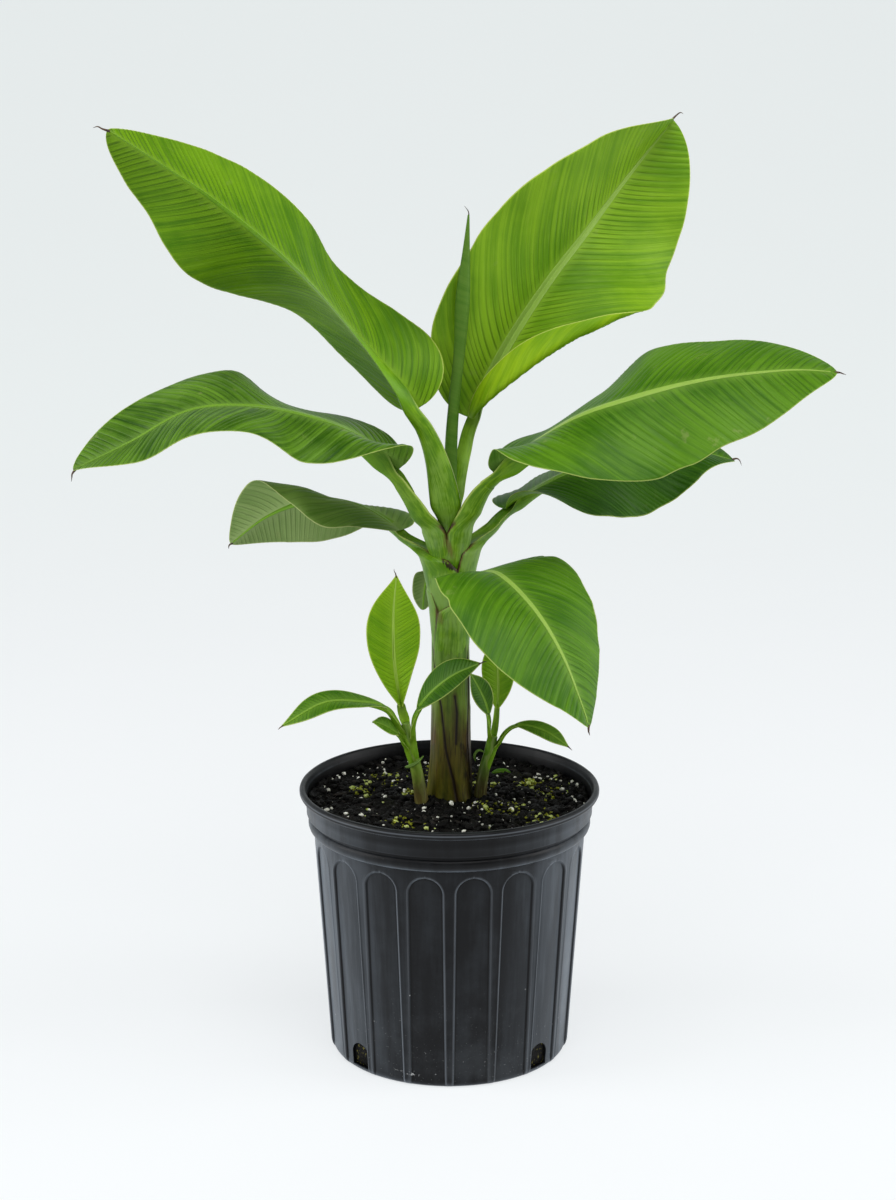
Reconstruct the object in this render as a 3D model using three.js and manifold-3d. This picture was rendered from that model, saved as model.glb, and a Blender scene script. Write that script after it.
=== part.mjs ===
// Young banana plant with two suckers, growing in a round black nursery pot.
// Millimetres, +Z up, with the front of the plant towards -Y.
// The origin is the centre of the pot's flat underside.

import * as THREE from "three";
import { mergeVertices } from "three/addons/utils/BufferGeometryUtils.js";
import Module from "manifold-3d";

const wasm = await Module();
wasm.setup();

// Clearance between neighbouring pieces
const GAP = 0.3;

// Pot: a tapered tub with a rolled rim, a plain band, a groove and eighteen recessed panels
const POT_HEIGHT = 256;
const RIM_RADIUS = 140;
const RIM_DEPTH = 7;
const BAND_RADIUS = 133.5;
const BAND_BOTTOM = 230.5;
const GROOVE_RADIUS = 130;
const GROOVE_BOTTOM = 227;
const ROLL_RADIUS = 132;
const ROLL_BOTTOM = 215;
const BODY_TOP_RADIUS = 126.8;
const BODY_BOTTOM_RADIUS = 113.2;
const FOOT_RADIUS = 108.2;
const FOOT_HEIGHT = 8;
const RIM_WIDTH = 5;
const LEDGE_LEVEL = 246;
const WALL = 4;
const FLOOR = 4;
const POT_SIDES = 54;

const PANEL_COUNT = 18;
const PANEL_WIDTH = 32;
const PANEL_TOP = 208;
const PANEL_DEPTH = 1.8;
const DRAIN_ANGLES = [47.5, 132.5, 227.5, 312.5];
const DRAIN_WIDTH = 24;
const DRAIN_TOP = 27.5;
const ARCH_STEPS = 5;

// Soil: fills the pot to just under the rim and rises a little round the stems
const SOIL_LEVEL = 240;
const SOIL_MOUND = 8;
const SOIL_MOUND_RADIUS = 46;
const SOIL_LUMP = 1.2;
const SOIL_SIDES = 36;
const SOIL_RINGS = 9;
const SOIL_GAP = 0.8;

// Pseudostem: the pressed-together leaf sheaths, as [x, y, z] and radius from the soil up
const STEM_PATH = [[0, 0, SOIL_LEVEL], [1, 0, 300], [1, 0, 380], [0, 0, 450], [0, 0, 516]];
const STEM_RADII = [21.5, 18.5, 17.5, 16.5, 13.5];
const STEM_SIDES = 16;

// Rolled new leaf, standing on the middle of the stem
const ROLLED_PATH = [[0, 0, 516.5], [1, 0, 572], [4, 1, 618], [9, 3, 664], [12, 4, 708], [15, 6, 752], [17, 8, 789]];
const ROLLED_RADII = [5.5, 5.2, 4.6, 4.4, 5.6, 3, 0.8];

// Each leaf has its stalk's path, which runs on into the rib's, the stalk's [width, depth] at foot
// and top, the way the upper side looks, the half width, how far the left and the right half fold
// up from flat, in degrees, how much flatter each is at its margin than at the rib, where it is not
// the usual amount, and how far the two lobes reach back. Left and right are as seen from above,
// with the tip ahead. Faces, widths, folds and curls are spaced evenly from the rib's foot to its tip.
const LEAVES = {
  upper_left: {
    stalk: [[-2, -10, 500], [-5, -14, 530], [-10, -17, 564], [-19, -19, 592]],
    size: [[24, 9], [15, 10]],
    rib: [[-31, -21, 612], [-74, -30, 671], [-132, -46, 740], [-198, -62, 799], [-254, -72, 839], [-289, -78, 862]],
    face: [[0.5, 0.75, 0.45], [-0.1, 0.98, 0.1], [-0.3, 0.95, -0.05], [-0.3, 0.93, -0.2]],
    width: [62, 72, 74, 62, 40],
    fold: [[40, 71, 75, 57, 49, 49, 55], [20, 46, 62, 47, 26, 45, 46]],
    lobe: [14, 10],
    green: 0x4f8a1c,
  },
  upper_right: {
    stalk: [[3, 9, 505], [7, 12, 540], [13, 17, 569]],
    size: [[17, 8], [12, 8]],
    rib: [[21, 22, 597], [51, 37, 659], [87, 56, 714], [125, 77, 762], [165, 101, 812], [206, 122, 860]],
    face: [[-0.4, -0.85, 0.35], [-0.1, -0.93, 0.36], [0.2, -0.95, 0.25], [0.15, -0.93, 0.3]],
    width: [64, 82, 90, 80, 60],
    fold: [[45, 43, 45, 42, 45, 58, 90], [100, 70, 40, 22, -6, -6, 0]],
    curl: [[20, 20, 20], [-60, 0, 20]],
    lobe: [6, 6],
    green: 0x6f9a1e,
  },
  right: {
    stalk: [[9, -4, 488], [17, -8, 519], [27, -13, 539], [41, -19, 556]],
    size: [[18, 12], [15, 10]],
    rib: [[58, -25, 574], [104, -40, 606], [159, -52, 629], [224, -62, 647], [293, -70, 656], [336, -74, 655]],
    face: [[-0.57, 0.17, 0.81], [-0.3, -0.4, 0.85], [-0.2, -0.6, 0.77], [0.1, -0.5, 0.85]],
    width: [62, 76, 78, 66, 44],
    fold: [[17, -23, -25, -16, -19, -15, -11], [95, 10, -13, -23, -11, -9, 12]],
    lobe: [8, 12],
    green: 0x4e8228,
  },
  lower_right: {
    stalk: [[10, 6, 455], [18, 10, 472], [28, 17, 488], [39, 26, 499]],
    size: [[14, 9], [11, 8]],
    rib: [[52, 36, 510], [81, 58, 526], [113, 80, 538], [162, 110, 547], [222, 140, 548], [276, 160, 532]],
    face: [[-0.3, -0.3, 0.9], [0, -0.3, 0.95], [0.1, -0.3, 0.95], [0.3, -0.25, 0.9]],
    width: [50, 60, 62, 52, 34],
    fold: [[0, -28, -30, -28, -20, 0, 10], [60, -5, -23, -37, -29, 3, 25]],
    lobe: [6, 8],
    green: 0x35660f,
  },
  front_right: {
    stalk: [[8, -12, 446], [13, -26, 460]],
    size: [[14, 9], [10, 7]],
    rib: [[18, -42, 470], [43, -75, 476], [73, -125, 457], [96, -155, 425], [112, -170, 386], [119, -176, 365]],
    face: [[-0.05, 0.3, 0.95], [0.18, -0.26, 0.95], [0.5, -0.55, 0.67], [0.85, -0.3, 0.4]],
    width: [66, 70, 68, 56, 34],
    fold: [[0, 9, -3, -9, -13, -5, 0], [0, 3, -3, -11, -17, -11, 6]],
    lobe: [12, 10],
    green: 0x4c8526,
  },
  middle_left: {
    stalk: [[-10, -6, 480], [-19, -9, 504], [-31, -13, 530], [-43, -17, 552]],
    size: [[18, 12], [13, 10]],
    rib: [[-54, -22, 568], [-84, -31, 594], [-122, -42, 611], [-171, -56, 622], [-227, -66, 620], [-279, -72, 593], [-329, -76, 569]],
    face: [[0.6, -0.1, 0.7], [0.31, -0.19, 0.93], [-0.36, -0.3, 0.88], [-0.4, -0.35, 0.85]],
    width: [46, 58, 62, 54, 34],
    fold: [[85, 7, -19, 3, 3, 1, 23], [30, -7, -19, 5, 3, 17, 19]],
    lobe: [10, 6],
    green: 0x3f7a1a,
  },
  lower_left: {
    stalk: [[-12, 4, 445], [-19, 8, 458], [-30, 17, 476]],
    size: [[14, 9], [11, 8]],
    rib: [[-45, 28, 492], [-72, 44, 508], [-102, 58, 515], [-136, 74, 510], [-174, 90, 491], [-209, 104, 462]],
    face: [[0.2, -0.2, 0.95], [0, -0.1, 1], [-0.1, 0, 1], [-0.2, 0, 1]],
    width: [36, 46, 50, 38, 17],
    fold: [[10, -5, -15, 10, 60, 82, 85], [5, -10, -45, -60, -65, -62, -50]],
    curl: [[10, 20, 70, 140, 80, 20, 10], [20, 20, 20]],
    lobe: [6, 30],
    green: 0x4a7f28,
  },
  old_back: {
    stalk: [[-8, 11, 440], [-12, 19, 450]],
    size: [[8, 6], [6, 4]],
    rib: [[-16, 28, 454], [-20, 37, 449], [-23, 43, 434], [-25, 45, 412]],
    face: [[0, -0.3, 1], [0, 0.7, 0.7], [0, 1, 0.1]],
    width: [9, 11, 11, 10, 6],
    fold: [[0, 5, 5], [0, 5, 5]],
    lobe: [3, 3],
    green: 0x7d9a5a,
  },
};

// The suckers: a stem from the soil, and leaves that each rise from it on a short stalk
const SUCKERS = {
  left: {
    stem: [[-24, -17, SOIL_LEVEL], [-29, -22, 270], [-34, -27, 294], [-38, -30, 312], [-40, -32, 325]],
    radii: [7, 6.5, 6, 6, 4.5],
    leaves: {
      upright: {
        stalk: [[-40, -32, 326], [-43, -31, 340]],
        size: [[9, 6], [6, 4]],
        rib: [[-45, -30, 352], [-50, -28, 384], [-51, -26, 425], [-48, -24, 462]],
        face: [[0.1, -1, 0.1], [0, -1, 0.1]],
        width: [19, 24, 24, 20, 11],
        fold: [[40, 15, 10], [55, 15, 10]],
        lobe: [0, 0],
        green: 0x6d9c12,
      },
      arching: {
        stalk: [[-40, -34, 316], [-47, -39, 330]],
        size: [[8, 6], [6, 5]],
        rib: [[-57, -44, 343], [-79, -54, 351], [-113, -66, 354], [-151, -76, 335]],
        face: [[0.2, -0.4, 0.9], [-0.1, -0.5, 0.9]],
        width: [12, 15, 15, 13, 7],
        fold: [[25, -5], [0, 5]],
        lobe: [0, 0],
        green: 0x4f8a20,
      },
      small: {
        stalk: [[-37, -32, 300], [-41, -36, 308]],
        size: [[6, 4], [4, 3]],
        rib: [[-46, -40, 316], [-58, -46, 326], [-70, -52, 332]],
        face: [[0.2, -0.6, 0.8], [0, -0.6, 0.8]],
        width: [7, 9, 9, 8, 4],
        fold: [[15, 15], [15, 15]],
        lobe: [0, 0],
        green: 0x3f7420,
      },
      inner: {
        stalk: [[-35, -35, 310], [-35, -42, 326]],
        size: [[7, 5], [5, 4]],
        rib: [[-29, -48, 342], [-15, -56, 362], [4, -66, 380], [28, -76, 394]],
        face: [[-0.5, -0.6, 0.6], [-0.4, -0.6, 0.7]],
        width: [15, 19, 19, 16, 9],
        fold: [[15, 5], [15, 5]],
        lobe: [0, 0],
        green: 0x2f5a10,
      },
    },
  },
  right: {
    stem: [[28, -6, SOIL_LEVEL], [32, -9, 270], [37, -11, 290], [41, -12, 306]],
    radii: [6.5, 6, 5.5, 4.5],
    leaves: {
      upright: {
        stalk: [[41, -11.5, 306], [43, -11, 320]],
        size: [[7, 5], [5, 4]],
        rib: [[44, -10, 332], [45, -8, 352], [44, -5, 378], [42, -2, 400]],
        face: [[0.1, -1, 0.1], [0, -1, 0.1]],
        width: [14, 17, 17, 14, 8],
        fold: [[25, 10], [25, 10]],
        lobe: [0, 0],
        green: 0x6d9c12,
      },
      inner: {
        stalk: [[39, -16, 306], [38, -20, 318]],
        size: [[6, 4], [4, 3]],
        rib: [[36, -24, 330], [32, -28, 345], [26, -32, 359], [19, -36, 373]],
        face: [[0.5, -0.8, 0.3], [0.4, -0.8, 0.4]],
        width: [10, 12, 12, 10, 5],
        fold: [[15, 5], [15, 5]],
        lobe: [0, 0],
        green: 0x2f5a10,
      },
      outer: {
        stalk: [[42, -13, 296], [50, -18, 311]],
        size: [[6, 4], [4, 3]],
        rib: [[60, -24, 320], [75, -30, 321], [92, -37, 316], [109, -46, 306]],
        face: [[0, -0.5, 0.9], [0.2, -0.5, 0.9]],
        width: [7, 9, 9, 8, 4],
        fold: [[15, 5], [0, -5]],
        lobe: [0, 0],
        green: 0x4f8a20,
      },
    },
  },
};

// Blade and stalk solids: a thin blade with a keel under its rib, and a stalk flat on top
const BLADE_THICKNESS = 1 / 95;
const RIB_HALF_WIDTH = 0.014;
const USUAL_CURL = [20, 20];
const TIP_HALF_WIDTH = 0.6;
const STALK_FLAT = 0.2;
const STALK_SIDES = 10;
const STALK_RINGS = 7;
const LIMB_RINGS = 12;
const BLADE_CELLS = [16, 8];
const SMALL_BLADE_CELLS = [8, 4];
const FUSE = 2;

// Colours of the pieces that are not leaves
const POT_BLACK = 0x26282b;
const SOIL_BROWN = 0x1d1611;
const STEM_OLIVE = 0x55651f;
const SHEATH_GREEN = 0x5b8a25;

// Solids from three.js geometry and back

function solidOf(geometry) {
  const bare = geometry.clone();
  bare.deleteAttribute("normal");
  bare.deleteAttribute("uv");
  const merged = mergeVertices(bare, 1e-4);
  const corners = merged.index.array;
  const kept = [];
  for (let i = 0; i < corners.length; i += 3) {
    const [a, b, c] = [corners[i], corners[i + 1], corners[i + 2]];
    if (a !== b && b !== c && c !== a) kept.push(a, b, c);
  }
  const mesh = new wasm.Mesh({
    numProp: 3,
    vertProperties: new Float32Array(merged.attributes.position.array),
    triVerts: new Uint32Array(kept),
  });
  return new wasm.Manifold(mesh);
}

function geometryOf(solid) {
  const mesh = solid.getMesh();
  const geometry = new THREE.BufferGeometry();
  geometry.setAttribute("position", new THREE.BufferAttribute(mesh.vertProperties, 3));
  geometry.setIndex(new THREE.BufferAttribute(mesh.triVerts, 1));
  geometry.computeVertexNormals();
  return geometry;
}

function piece(name, solid, color, roughness) {
  const material = new THREE.MeshStandardMaterial({ color, roughness, metalness: 0 });
  const mesh = new THREE.Mesh(geometryOf(solid), material);
  mesh.name = name;
  return mesh;
}

function bend(geometry, place) {
  const position = geometry.attributes.position;
  for (let i = 0; i < position.count; i += 1) {
    const moved = place(position.getX(i), position.getY(i), position.getZ(i));
    position.setXYZ(i, moved.x, moved.y, moved.z);
  }
  return solidOf(geometry);
}

// Smooth paths, and values spaced evenly along them

function pathThrough(points) {
  const corners = points.map((point) => new THREE.Vector3(...point));
  const path = new THREE.CatmullRomCurve3(corners, false, "catmullrom", 0.5);
  path.arcLengthDivisions = 400;
  return path;
}

function valueAt(stations, u) {
  return pathThrough(stations).getPoint(u);
}

// The stalk and the rib of a leaf are one path; its foot share is where the blade begins

function leafPath(leaf) {
  const points = [...leaf.stalk, ...leaf.rib];
  const path = pathThrough(points);
  const lengths = path.getLengths();
  const place = (leaf.stalk.length / (points.length - 1)) * (lengths.length - 1);
  const length = path.getLength();
  const foot = lengths[Math.round(place)] / length;
  return { path, foot, ribLength: length * (1 - foot) };
}

// The frame at one place of a path: heading to the tip, up out of the upper side, and left

function frameAt(path, u, facing) {
  const heading = path.getTangentAt(u);
  const left = new THREE.Vector3().crossVectors(facing, heading).normalize();
  const up = new THREE.Vector3().crossVectors(heading, left);
  return { origin: path.getPointAt(u), heading, left, up };
}

// A round limb that tapers through evenly spaced radii; grown, it is the room that it needs

function limb(points, radii, sides, grow = 0) {
  const path = pathThrough(points);
  const widths = radii.map((radius) => [radius + grow]);
  const front = new THREE.Vector3(0, -1, 0);
  const rod = new THREE.CylinderGeometry(1, 1, 1, sides, LIMB_RINGS);
  return bend(rod, (x, y, z) => {
    const { origin, heading, left, up } = frameAt(path, y + 0.5, front);
    const radius = valueAt(widths, y + 0.5).x;
    return origin
      .addScaledVector(left, x * radius)
      .addScaledVector(up, -z * radius)
      .addScaledVector(heading, 2 * y * grow);
  });
}

// A leafstalk: flat on top and round below, its foot turned to the stem behind it

function stalk(leaf, ahead, grow = 0) {
  const { path, foot } = leafPath(leaf);
  const [footX, footY] = leaf.stalk[0];
  const inward = new THREE.Vector3(-footX, -footY, 0).normalize().toArray();
  const facings = [inward, leaf.face[0]];
  const rod = new THREE.CylinderGeometry(1, 1, 1, STALK_SIDES, STALK_RINGS);
  return bend(rod, (x, y, z) => {
    const u = y + 0.5;
    const { origin, heading, left, up } = frameAt(path, u * foot, valueAt(facings, u));
    const size = valueAt(leaf.size, u);
    const drop = z < 0 ? STALK_FLAT * (1 + z) : STALK_FLAT + (1 - STALK_FLAT) * z;
    const ends = y > 0.49 ? ahead : 0;
    return origin
      .addScaledVector(left, x * (size.x / 2 + grow))
      .addScaledVector(up, -drop * (size.y + 2 * grow) + grow)
      .addScaledVector(heading, y < -0.49 ? -grow : ends);
  });
}

// A blade: a thin plate bent round its rib, its two halves folded and curled each on their own

function halfWidth(leaf, u, length) {
  const rounding = Math.sqrt(1 - (1 - u) ** 8) * (1 - u ** 8) ** 0.6;
  const rib = RIB_HALF_WIDTH * length * (1 - u) + TIP_HALF_WIDTH;
  const width = valueAt(leaf.width.map((value) => [value]), u).x;
  return { rib, margin: rib + width * rounding };
}

function foldAt(leaf, side, u) {
  const middle = valueAt(leaf.fold[side].map((value) => [value]), u).x;
  const stations = leaf.curl ? leaf.curl[side] : USUAL_CURL;
  const half = valueAt(stations.map((value) => [value]), u).x / 2;
  return [middle + half, middle - half].map(THREE.MathUtils.degToRad);
}

function curl(reach, width, [start, end]) {
  const turn = (end - start) / width;
  const angle = start + turn * reach;
  if (Math.abs(turn) < 1e-6) {
    return { out: reach * Math.cos(start), rise: reach * Math.sin(start), angle };
  }
  const out = (Math.sin(angle) - Math.sin(start)) / turn;
  const rise = (Math.cos(start) - Math.cos(angle)) / turn;
  return { out, rise, angle };
}

function blade(leaf, [long, across]) {
  const { path, foot, ribLength } = leafPath(leaf);
  const thickness = ribLength * BLADE_THICKNESS;
  const keel = leaf.size[1][1];
  const plate = new THREE.BoxGeometry(1, 1, 1, long, across, 1);
  return bend(plate, (x, y, z) => {
    const u = (1 - Math.cos(Math.PI * (x + 0.5))) / 2;
    const side = y > 0 ? 0 : 1;
    const row = Math.round(Math.abs(y) * across);
    const share = foot + (1 - foot) * u;
    const { origin, heading, left, up } = frameAt(path, share, valueAt(leaf.face, u));
    const { rib, margin } = halfWidth(leaf, u, ribLength);
    const reach = row === 0 ? 0 : rib + ((margin - rib) * (row - 1)) / (across / 2 - 1);
    const { out, rise, angle } = curl(reach, margin, foldAt(leaf, side, u));
    const back = leaf.lobe[side] * (reach / leaf.width[1]) ** 2 * (1 - u) ** 4;
    const deep = row === 0 && z < 0 ? keel * (1 - u) : 0;
    return origin
      .addScaledVector(left, (side === 0 ? 1 : -1) * (out - z * thickness * Math.sin(angle)))
      .addScaledVector(up, rise + z * thickness * Math.cos(angle) - deep)
      .addScaledVector(heading, -back);
  });
}

// Pot

function turned(profile, sides) {
  const points = profile.map(([radius, height]) => new THREE.Vector2(radius, height));
  return solidOf(new THREE.LatheGeometry(points, sides).rotateX(Math.PI / 2));
}

function footProfile(inset) {
  const rise = BODY_BOTTOM_RADIUS - FOOT_RADIUS;
  return [90, 60, 30, 0].map((angle) => {
    const turn = THREE.MathUtils.degToRad(angle);
    const radius = FOOT_RADIUS + rise * Math.cos(turn) - inset;
    return [radius, FOOT_HEIGHT * (1 - Math.sin(turn))];
  });
}

function potShell() {
  const rollMiddle = (ROLL_RADIUS + BODY_TOP_RADIUS) / 2 + 1.5;
  const rimBottom = POT_HEIGHT - RIM_DEPTH;
  return turned([
    [0, 0],
    ...footProfile(0),
    [BODY_TOP_RADIUS, ROLL_BOTTOM],
    [rollMiddle, (ROLL_BOTTOM + GROOVE_BOTTOM) / 2 - 2],
    [ROLL_RADIUS, GROOVE_BOTTOM - 2],
    [GROOVE_RADIUS, GROOVE_BOTTOM],
    [GROOVE_RADIUS, BAND_BOTTOM],
    [BAND_RADIUS, BAND_BOTTOM],
    [BAND_RADIUS + 0.5, rimBottom],
    [RIM_RADIUS - 1, rimBottom],
    [RIM_RADIUS, rimBottom + 2],
    [RIM_RADIUS, POT_HEIGHT - 2.5],
    [RIM_RADIUS - 2, POT_HEIGHT],
    [RIM_RADIUS - RIM_WIDTH, POT_HEIGHT],
    [BAND_RADIUS - WALL + 1, LEDGE_LEVEL],
    [GROOVE_RADIUS - WALL, LEDGE_LEVEL - 1],
    [BODY_TOP_RADIUS - WALL, ROLL_BOTTOM],
    [BODY_BOTTOM_RADIUS - WALL, FLOOR],
    [0, FLOOR],
  ], POT_SIDES);
}

function tombstone(width, foot, top) {
  const shape = new THREE.Shape();
  shape.moveTo(-width / 2, foot);
  shape.lineTo(width / 2, foot);
  shape.lineTo(width / 2, top - width / 2);
  shape.absarc(0, top - width / 2, width / 2, 0, Math.PI, false);
  return shape;
}

// A cutter with an arched outline, reaching out through the wall at an angle from the front
function archCutter(width, foot, top, angle) {
  const inner = FOOT_RADIUS - 12;
  const depth = RIM_RADIUS - inner;
  const cutter = new THREE.ExtrudeGeometry(tombstone(width, foot, top), {
    depth, bevelEnabled: false, curveSegments: ARCH_STEPS,
  });
  cutter.rotateX(Math.PI / 2).translate(0, -inner, 0);
  cutter.rotateZ(THREE.MathUtils.degToRad(angle));
  return solidOf(cutter);
}

function pot() {
  const pitch = 360 / PANEL_COUNT;
  const core = turned([
    [0, -1],
    [FOOT_RADIUS - PANEL_DEPTH, -1],
    ...footProfile(PANEL_DEPTH),
    [BODY_TOP_RADIUS - PANEL_DEPTH, ROLL_BOTTOM],
    [0, ROLL_BOTTOM],
  ], POT_SIDES);
  let shell = potShell();
  for (let i = 0; i < PANEL_COUNT; i += 1) {
    const panel = archCutter(PANEL_WIDTH, -1, PANEL_TOP, (i + 0.5) * pitch);
    shell = shell.subtract(panel.subtract(core));
  }
  for (const angle of DRAIN_ANGLES) {
    shell = shell.subtract(archCutter(DRAIN_WIDTH, FLOOR, DRAIN_TOP, angle));
  }
  return shell;
}

// Soil

function soilTop(x, y) {
  const mound = SOIL_MOUND * Math.exp(-(x * x + y * y) / SOIL_MOUND_RADIUS ** 2);
  const lumps = Math.sin(x / 9 + 1) * Math.cos(y / 11) + 0.6 * Math.sin(x / 5 - y / 6);
  return SOIL_LEVEL + mound + SOIL_LUMP * lumps;
}

function soil() {
  const floor = FLOOR + GAP;
  const bottom = BODY_BOTTOM_RADIUS - WALL - SOIL_GAP;
  const shoulder = BODY_TOP_RADIUS - WALL - SOIL_GAP;
  const rise = (SOIL_LEVEL - ROLL_BOTTOM) / (LEDGE_LEVEL - 1 - ROLL_BOTTOM);
  const brim = shoulder + (GROOVE_RADIUS - BODY_TOP_RADIUS) * rise;
  const rings = Array.from({ length: SOIL_RINGS }, (_, i) => 1 - i / SOIL_RINGS);
  const profile = [
    [0, floor],
    [bottom, floor],
    [shoulder, ROLL_BOTTOM],
    ...rings.map((share) => [share * brim, SOIL_LEVEL]),
    [0, SOIL_LEVEL],
  ];
  const points = profile.map(([radius, height]) => new THREE.Vector2(radius, height));
  const heap = new THREE.LatheGeometry(points, SOIL_SIDES).rotateX(Math.PI / 2);
  return bend(heap, (x, y, z) => {
    const height = z > SOIL_LEVEL - 1 ? soilTop(x, y) : z;
    return new THREE.Vector3(x, y, height);
  });
}

// Assembly: each piece is cut clear of the limbs that it grows from or beside

const plant = new THREE.Group();
const taken = [];

function clearOf(solid, others) {
  return others.reduce((left, other) => left.subtract(other), solid);
}

function addLimb(name, points, radii, sides, color) {
  const solid = clearOf(limb(points, radii, sides), taken);
  plant.add(piece(name, solid, color, 0.6));
  taken.push(limb(points, radii, sides, GAP));
}

function addLeaf(name, leaf) {
  const foot = clearOf(stalk(leaf, -GAP), taken);
  taken.push(stalk(leaf, 0, GAP));
  plant.add(piece(`leafstalk_${name}`, foot, SHEATH_GREEN, 0.5));
  plant.add(piece(`leaf_${name}`, clearOf(blade(leaf, BLADE_CELLS), stems), leaf.green, 0.5));
}

function addSuckerLeaf(name, leaf) {
  const whole = stalk(leaf, FUSE).add(blade(leaf, SMALL_BLADE_CELLS));
  plant.add(piece(name, clearOf(whole, taken), leaf.green, 0.5));
  taken.push(stalk(leaf, 0, GAP));
}

addLimb("pseudostem", STEM_PATH, STEM_RADII, STEM_SIDES, STEM_OLIVE);
addLimb("rolled_leaf", ROLLED_PATH, ROLLED_RADII, STALK_SIDES, SHEATH_GREEN);
for (const [side, sucker] of Object.entries(SUCKERS)) {
  addLimb(`sucker_${side}_stem`, sucker.stem, sucker.radii, STALK_SIDES, SHEATH_GREEN);
}
const stems = [...taken];
for (const [name, leaf] of Object.entries(LEAVES)) addLeaf(name, leaf);
for (const [side, sucker] of Object.entries(SUCKERS)) {
  for (const [name, leaf] of Object.entries(sucker.leaves)) {
    addSuckerLeaf(`sucker_${side}_leaf_${name}`, leaf);
  }
}
plant.add(piece("soil", clearOf(soil(), stems), SOIL_BROWN, 0.95));
plant.add(piece("pot", pot(), POT_BLACK, 0.55));

export default plant;
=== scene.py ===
# A young banana plant with two suckers, in a round ribbed nursery pot full of potting mix.

import math

import bpy
import numpy as np
from mathutils import Euler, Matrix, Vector, noise


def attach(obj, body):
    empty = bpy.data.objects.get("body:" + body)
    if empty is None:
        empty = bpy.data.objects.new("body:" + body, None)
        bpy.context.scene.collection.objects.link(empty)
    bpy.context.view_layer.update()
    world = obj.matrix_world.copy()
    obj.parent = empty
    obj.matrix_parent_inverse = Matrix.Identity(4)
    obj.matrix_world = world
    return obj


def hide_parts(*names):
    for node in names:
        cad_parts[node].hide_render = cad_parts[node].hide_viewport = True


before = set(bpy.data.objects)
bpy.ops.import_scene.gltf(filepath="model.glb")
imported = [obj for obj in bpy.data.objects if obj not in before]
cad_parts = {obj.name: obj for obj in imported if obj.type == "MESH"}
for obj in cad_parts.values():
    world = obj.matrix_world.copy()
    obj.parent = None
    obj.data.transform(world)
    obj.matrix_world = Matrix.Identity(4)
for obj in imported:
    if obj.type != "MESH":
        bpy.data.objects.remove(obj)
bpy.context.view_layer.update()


# Camera
# It looks down a little on the plant from the front, at about the height of its upper leaves.

EYE = (-0.0013, -2.2, 0.988)
LOOK_DOWN = math.radians(14.16)
LENS_MM = 74.16
SENSOR_MM = 36.0
NEAR_CLIP = 0.05
FAR_CLIP = 150.0

bpy.ops.object.camera_add(location=EYE, rotation=(math.pi / 2 - LOOK_DOWN, 0, 0))
camera = bpy.context.object
camera.name = "camera"
camera.data.lens = LENS_MM
camera.data.sensor_width = SENSOR_MM
camera.data.clip_start = NEAR_CLIP
camera.data.clip_end = FAR_CLIP
bpy.context.scene.camera = camera


# Pot
# A tub blown from black polyethylene, with a rolled rim, a plain band, a groove under it and
# eighteen shallow arched panels down to a rounded foot, where four drain holes are cut.

MM = 0.001
PANEL_COUNT = 18
COLUMNS_PER_PANEL = 32
PANEL_HALF = 16.0
PANEL_TOP = 208.0
PANEL_DEPTH = 1.9
PANEL_EDGE = 0.75
GATHERED = 0.375
GATHER_HALF = 1.3
NARROWEST_PANEL = 2.5
RIDGE_HALF = 2.2
LIP_HEIGHT = 0.4
FOOT_LEVEL = 8.0
ROLL_LEVEL = 215.0
BODY_TOP = 126.8
BODY_BOTTOM = 113.2
FOOT_RADIUS = 108.2
DRAIN_ANGLES = (47.5, 132.5, 227.5, 312.5)
DRAIN_HALF = 12.0
DRAIN_FOOT = 3.6
DRAIN_TOP = 27.5
SCUFF = ((-0.052, -0.1005, 0.0125), (-0.027, -0.1095, 0.0105))
FLECK_SCALE = 85


def body_radius(height):
    """The outside of the tapered wall."""
    return BODY_BOTTOM + (BODY_TOP - BODY_BOTTOM) * (height - FOOT_LEVEL) / (ROLL_LEVEL - FOOT_LEVEL)


foot_turn = [math.radians(angle) for angle in range(90, -1, -10)]
foot_curve = [
    (FOOT_RADIUS + (BODY_BOTTOM - FOOT_RADIUS) * math.cos(turn), FOOT_LEVEL * (1 - math.sin(turn)))
    for turn in foot_turn
]
wall_levels = [FOOT_LEVEL + 8.0 * step for step in range(1, 22)]
wall_levels += [184.0 + 0.9 * step for step in range(28)] + [211.5, ROLL_LEVEL]
wall_line = [(body_radius(level), level) for level in wall_levels]
rim_line = [
    (129.4, 216.2), (131.2, 218.2), (132.0, 220.6), (132.0, 223.4), (131.3, 225.4), (130.2, 226.4),
    (129.5, 226.8), (129.2, 228.6), (129.5, 230.2), (131.6, 230.4), (133.2, 230.7), (133.6, 231.6),
    (133.5, 236.5), (133.9, 237.2), (134.0, 242.0), (134.2, 247.8), (134.5, 248.6), (135.6, 248.9),
    (138.0, 248.8), (139.3, 249.4), (140.0, 250.8), (140.1, 252.8), (139.5, 254.6), (138.2, 255.7),
    (136.4, 255.8), (135.2, 254.9), (134.4, 253.2), (133.0, 248.4), (132.3, 244.0), (131.9, 236.0),
    (131.6, 232.0), (127.8, 229.4), (126.4, 226.6), (125.2, 222.0), (122.8, 215.0), (109.2, 6.0),
    (107.2, 4.0),
]
pot_profile = [(0.0, 0.0), (60.0, 0.0), (100.0, 0.0)] + foot_curve + wall_line + rim_line
pot_profile += [(60.0, 4.0), (0.0, 4.0)]


def stand_alone():
    """Leaves edit mode and deselects everything, so that the next operator acts on one piece."""
    if bpy.context.mode != "OBJECT":
        bpy.ops.object.mode_set(mode="OBJECT")
    bpy.ops.object.select_all(action="DESELECT")


def take(piece):
    """Makes one piece the selected and active one."""
    stand_alone()
    piece.select_set(True)
    bpy.context.view_layer.objects.active = piece


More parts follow.
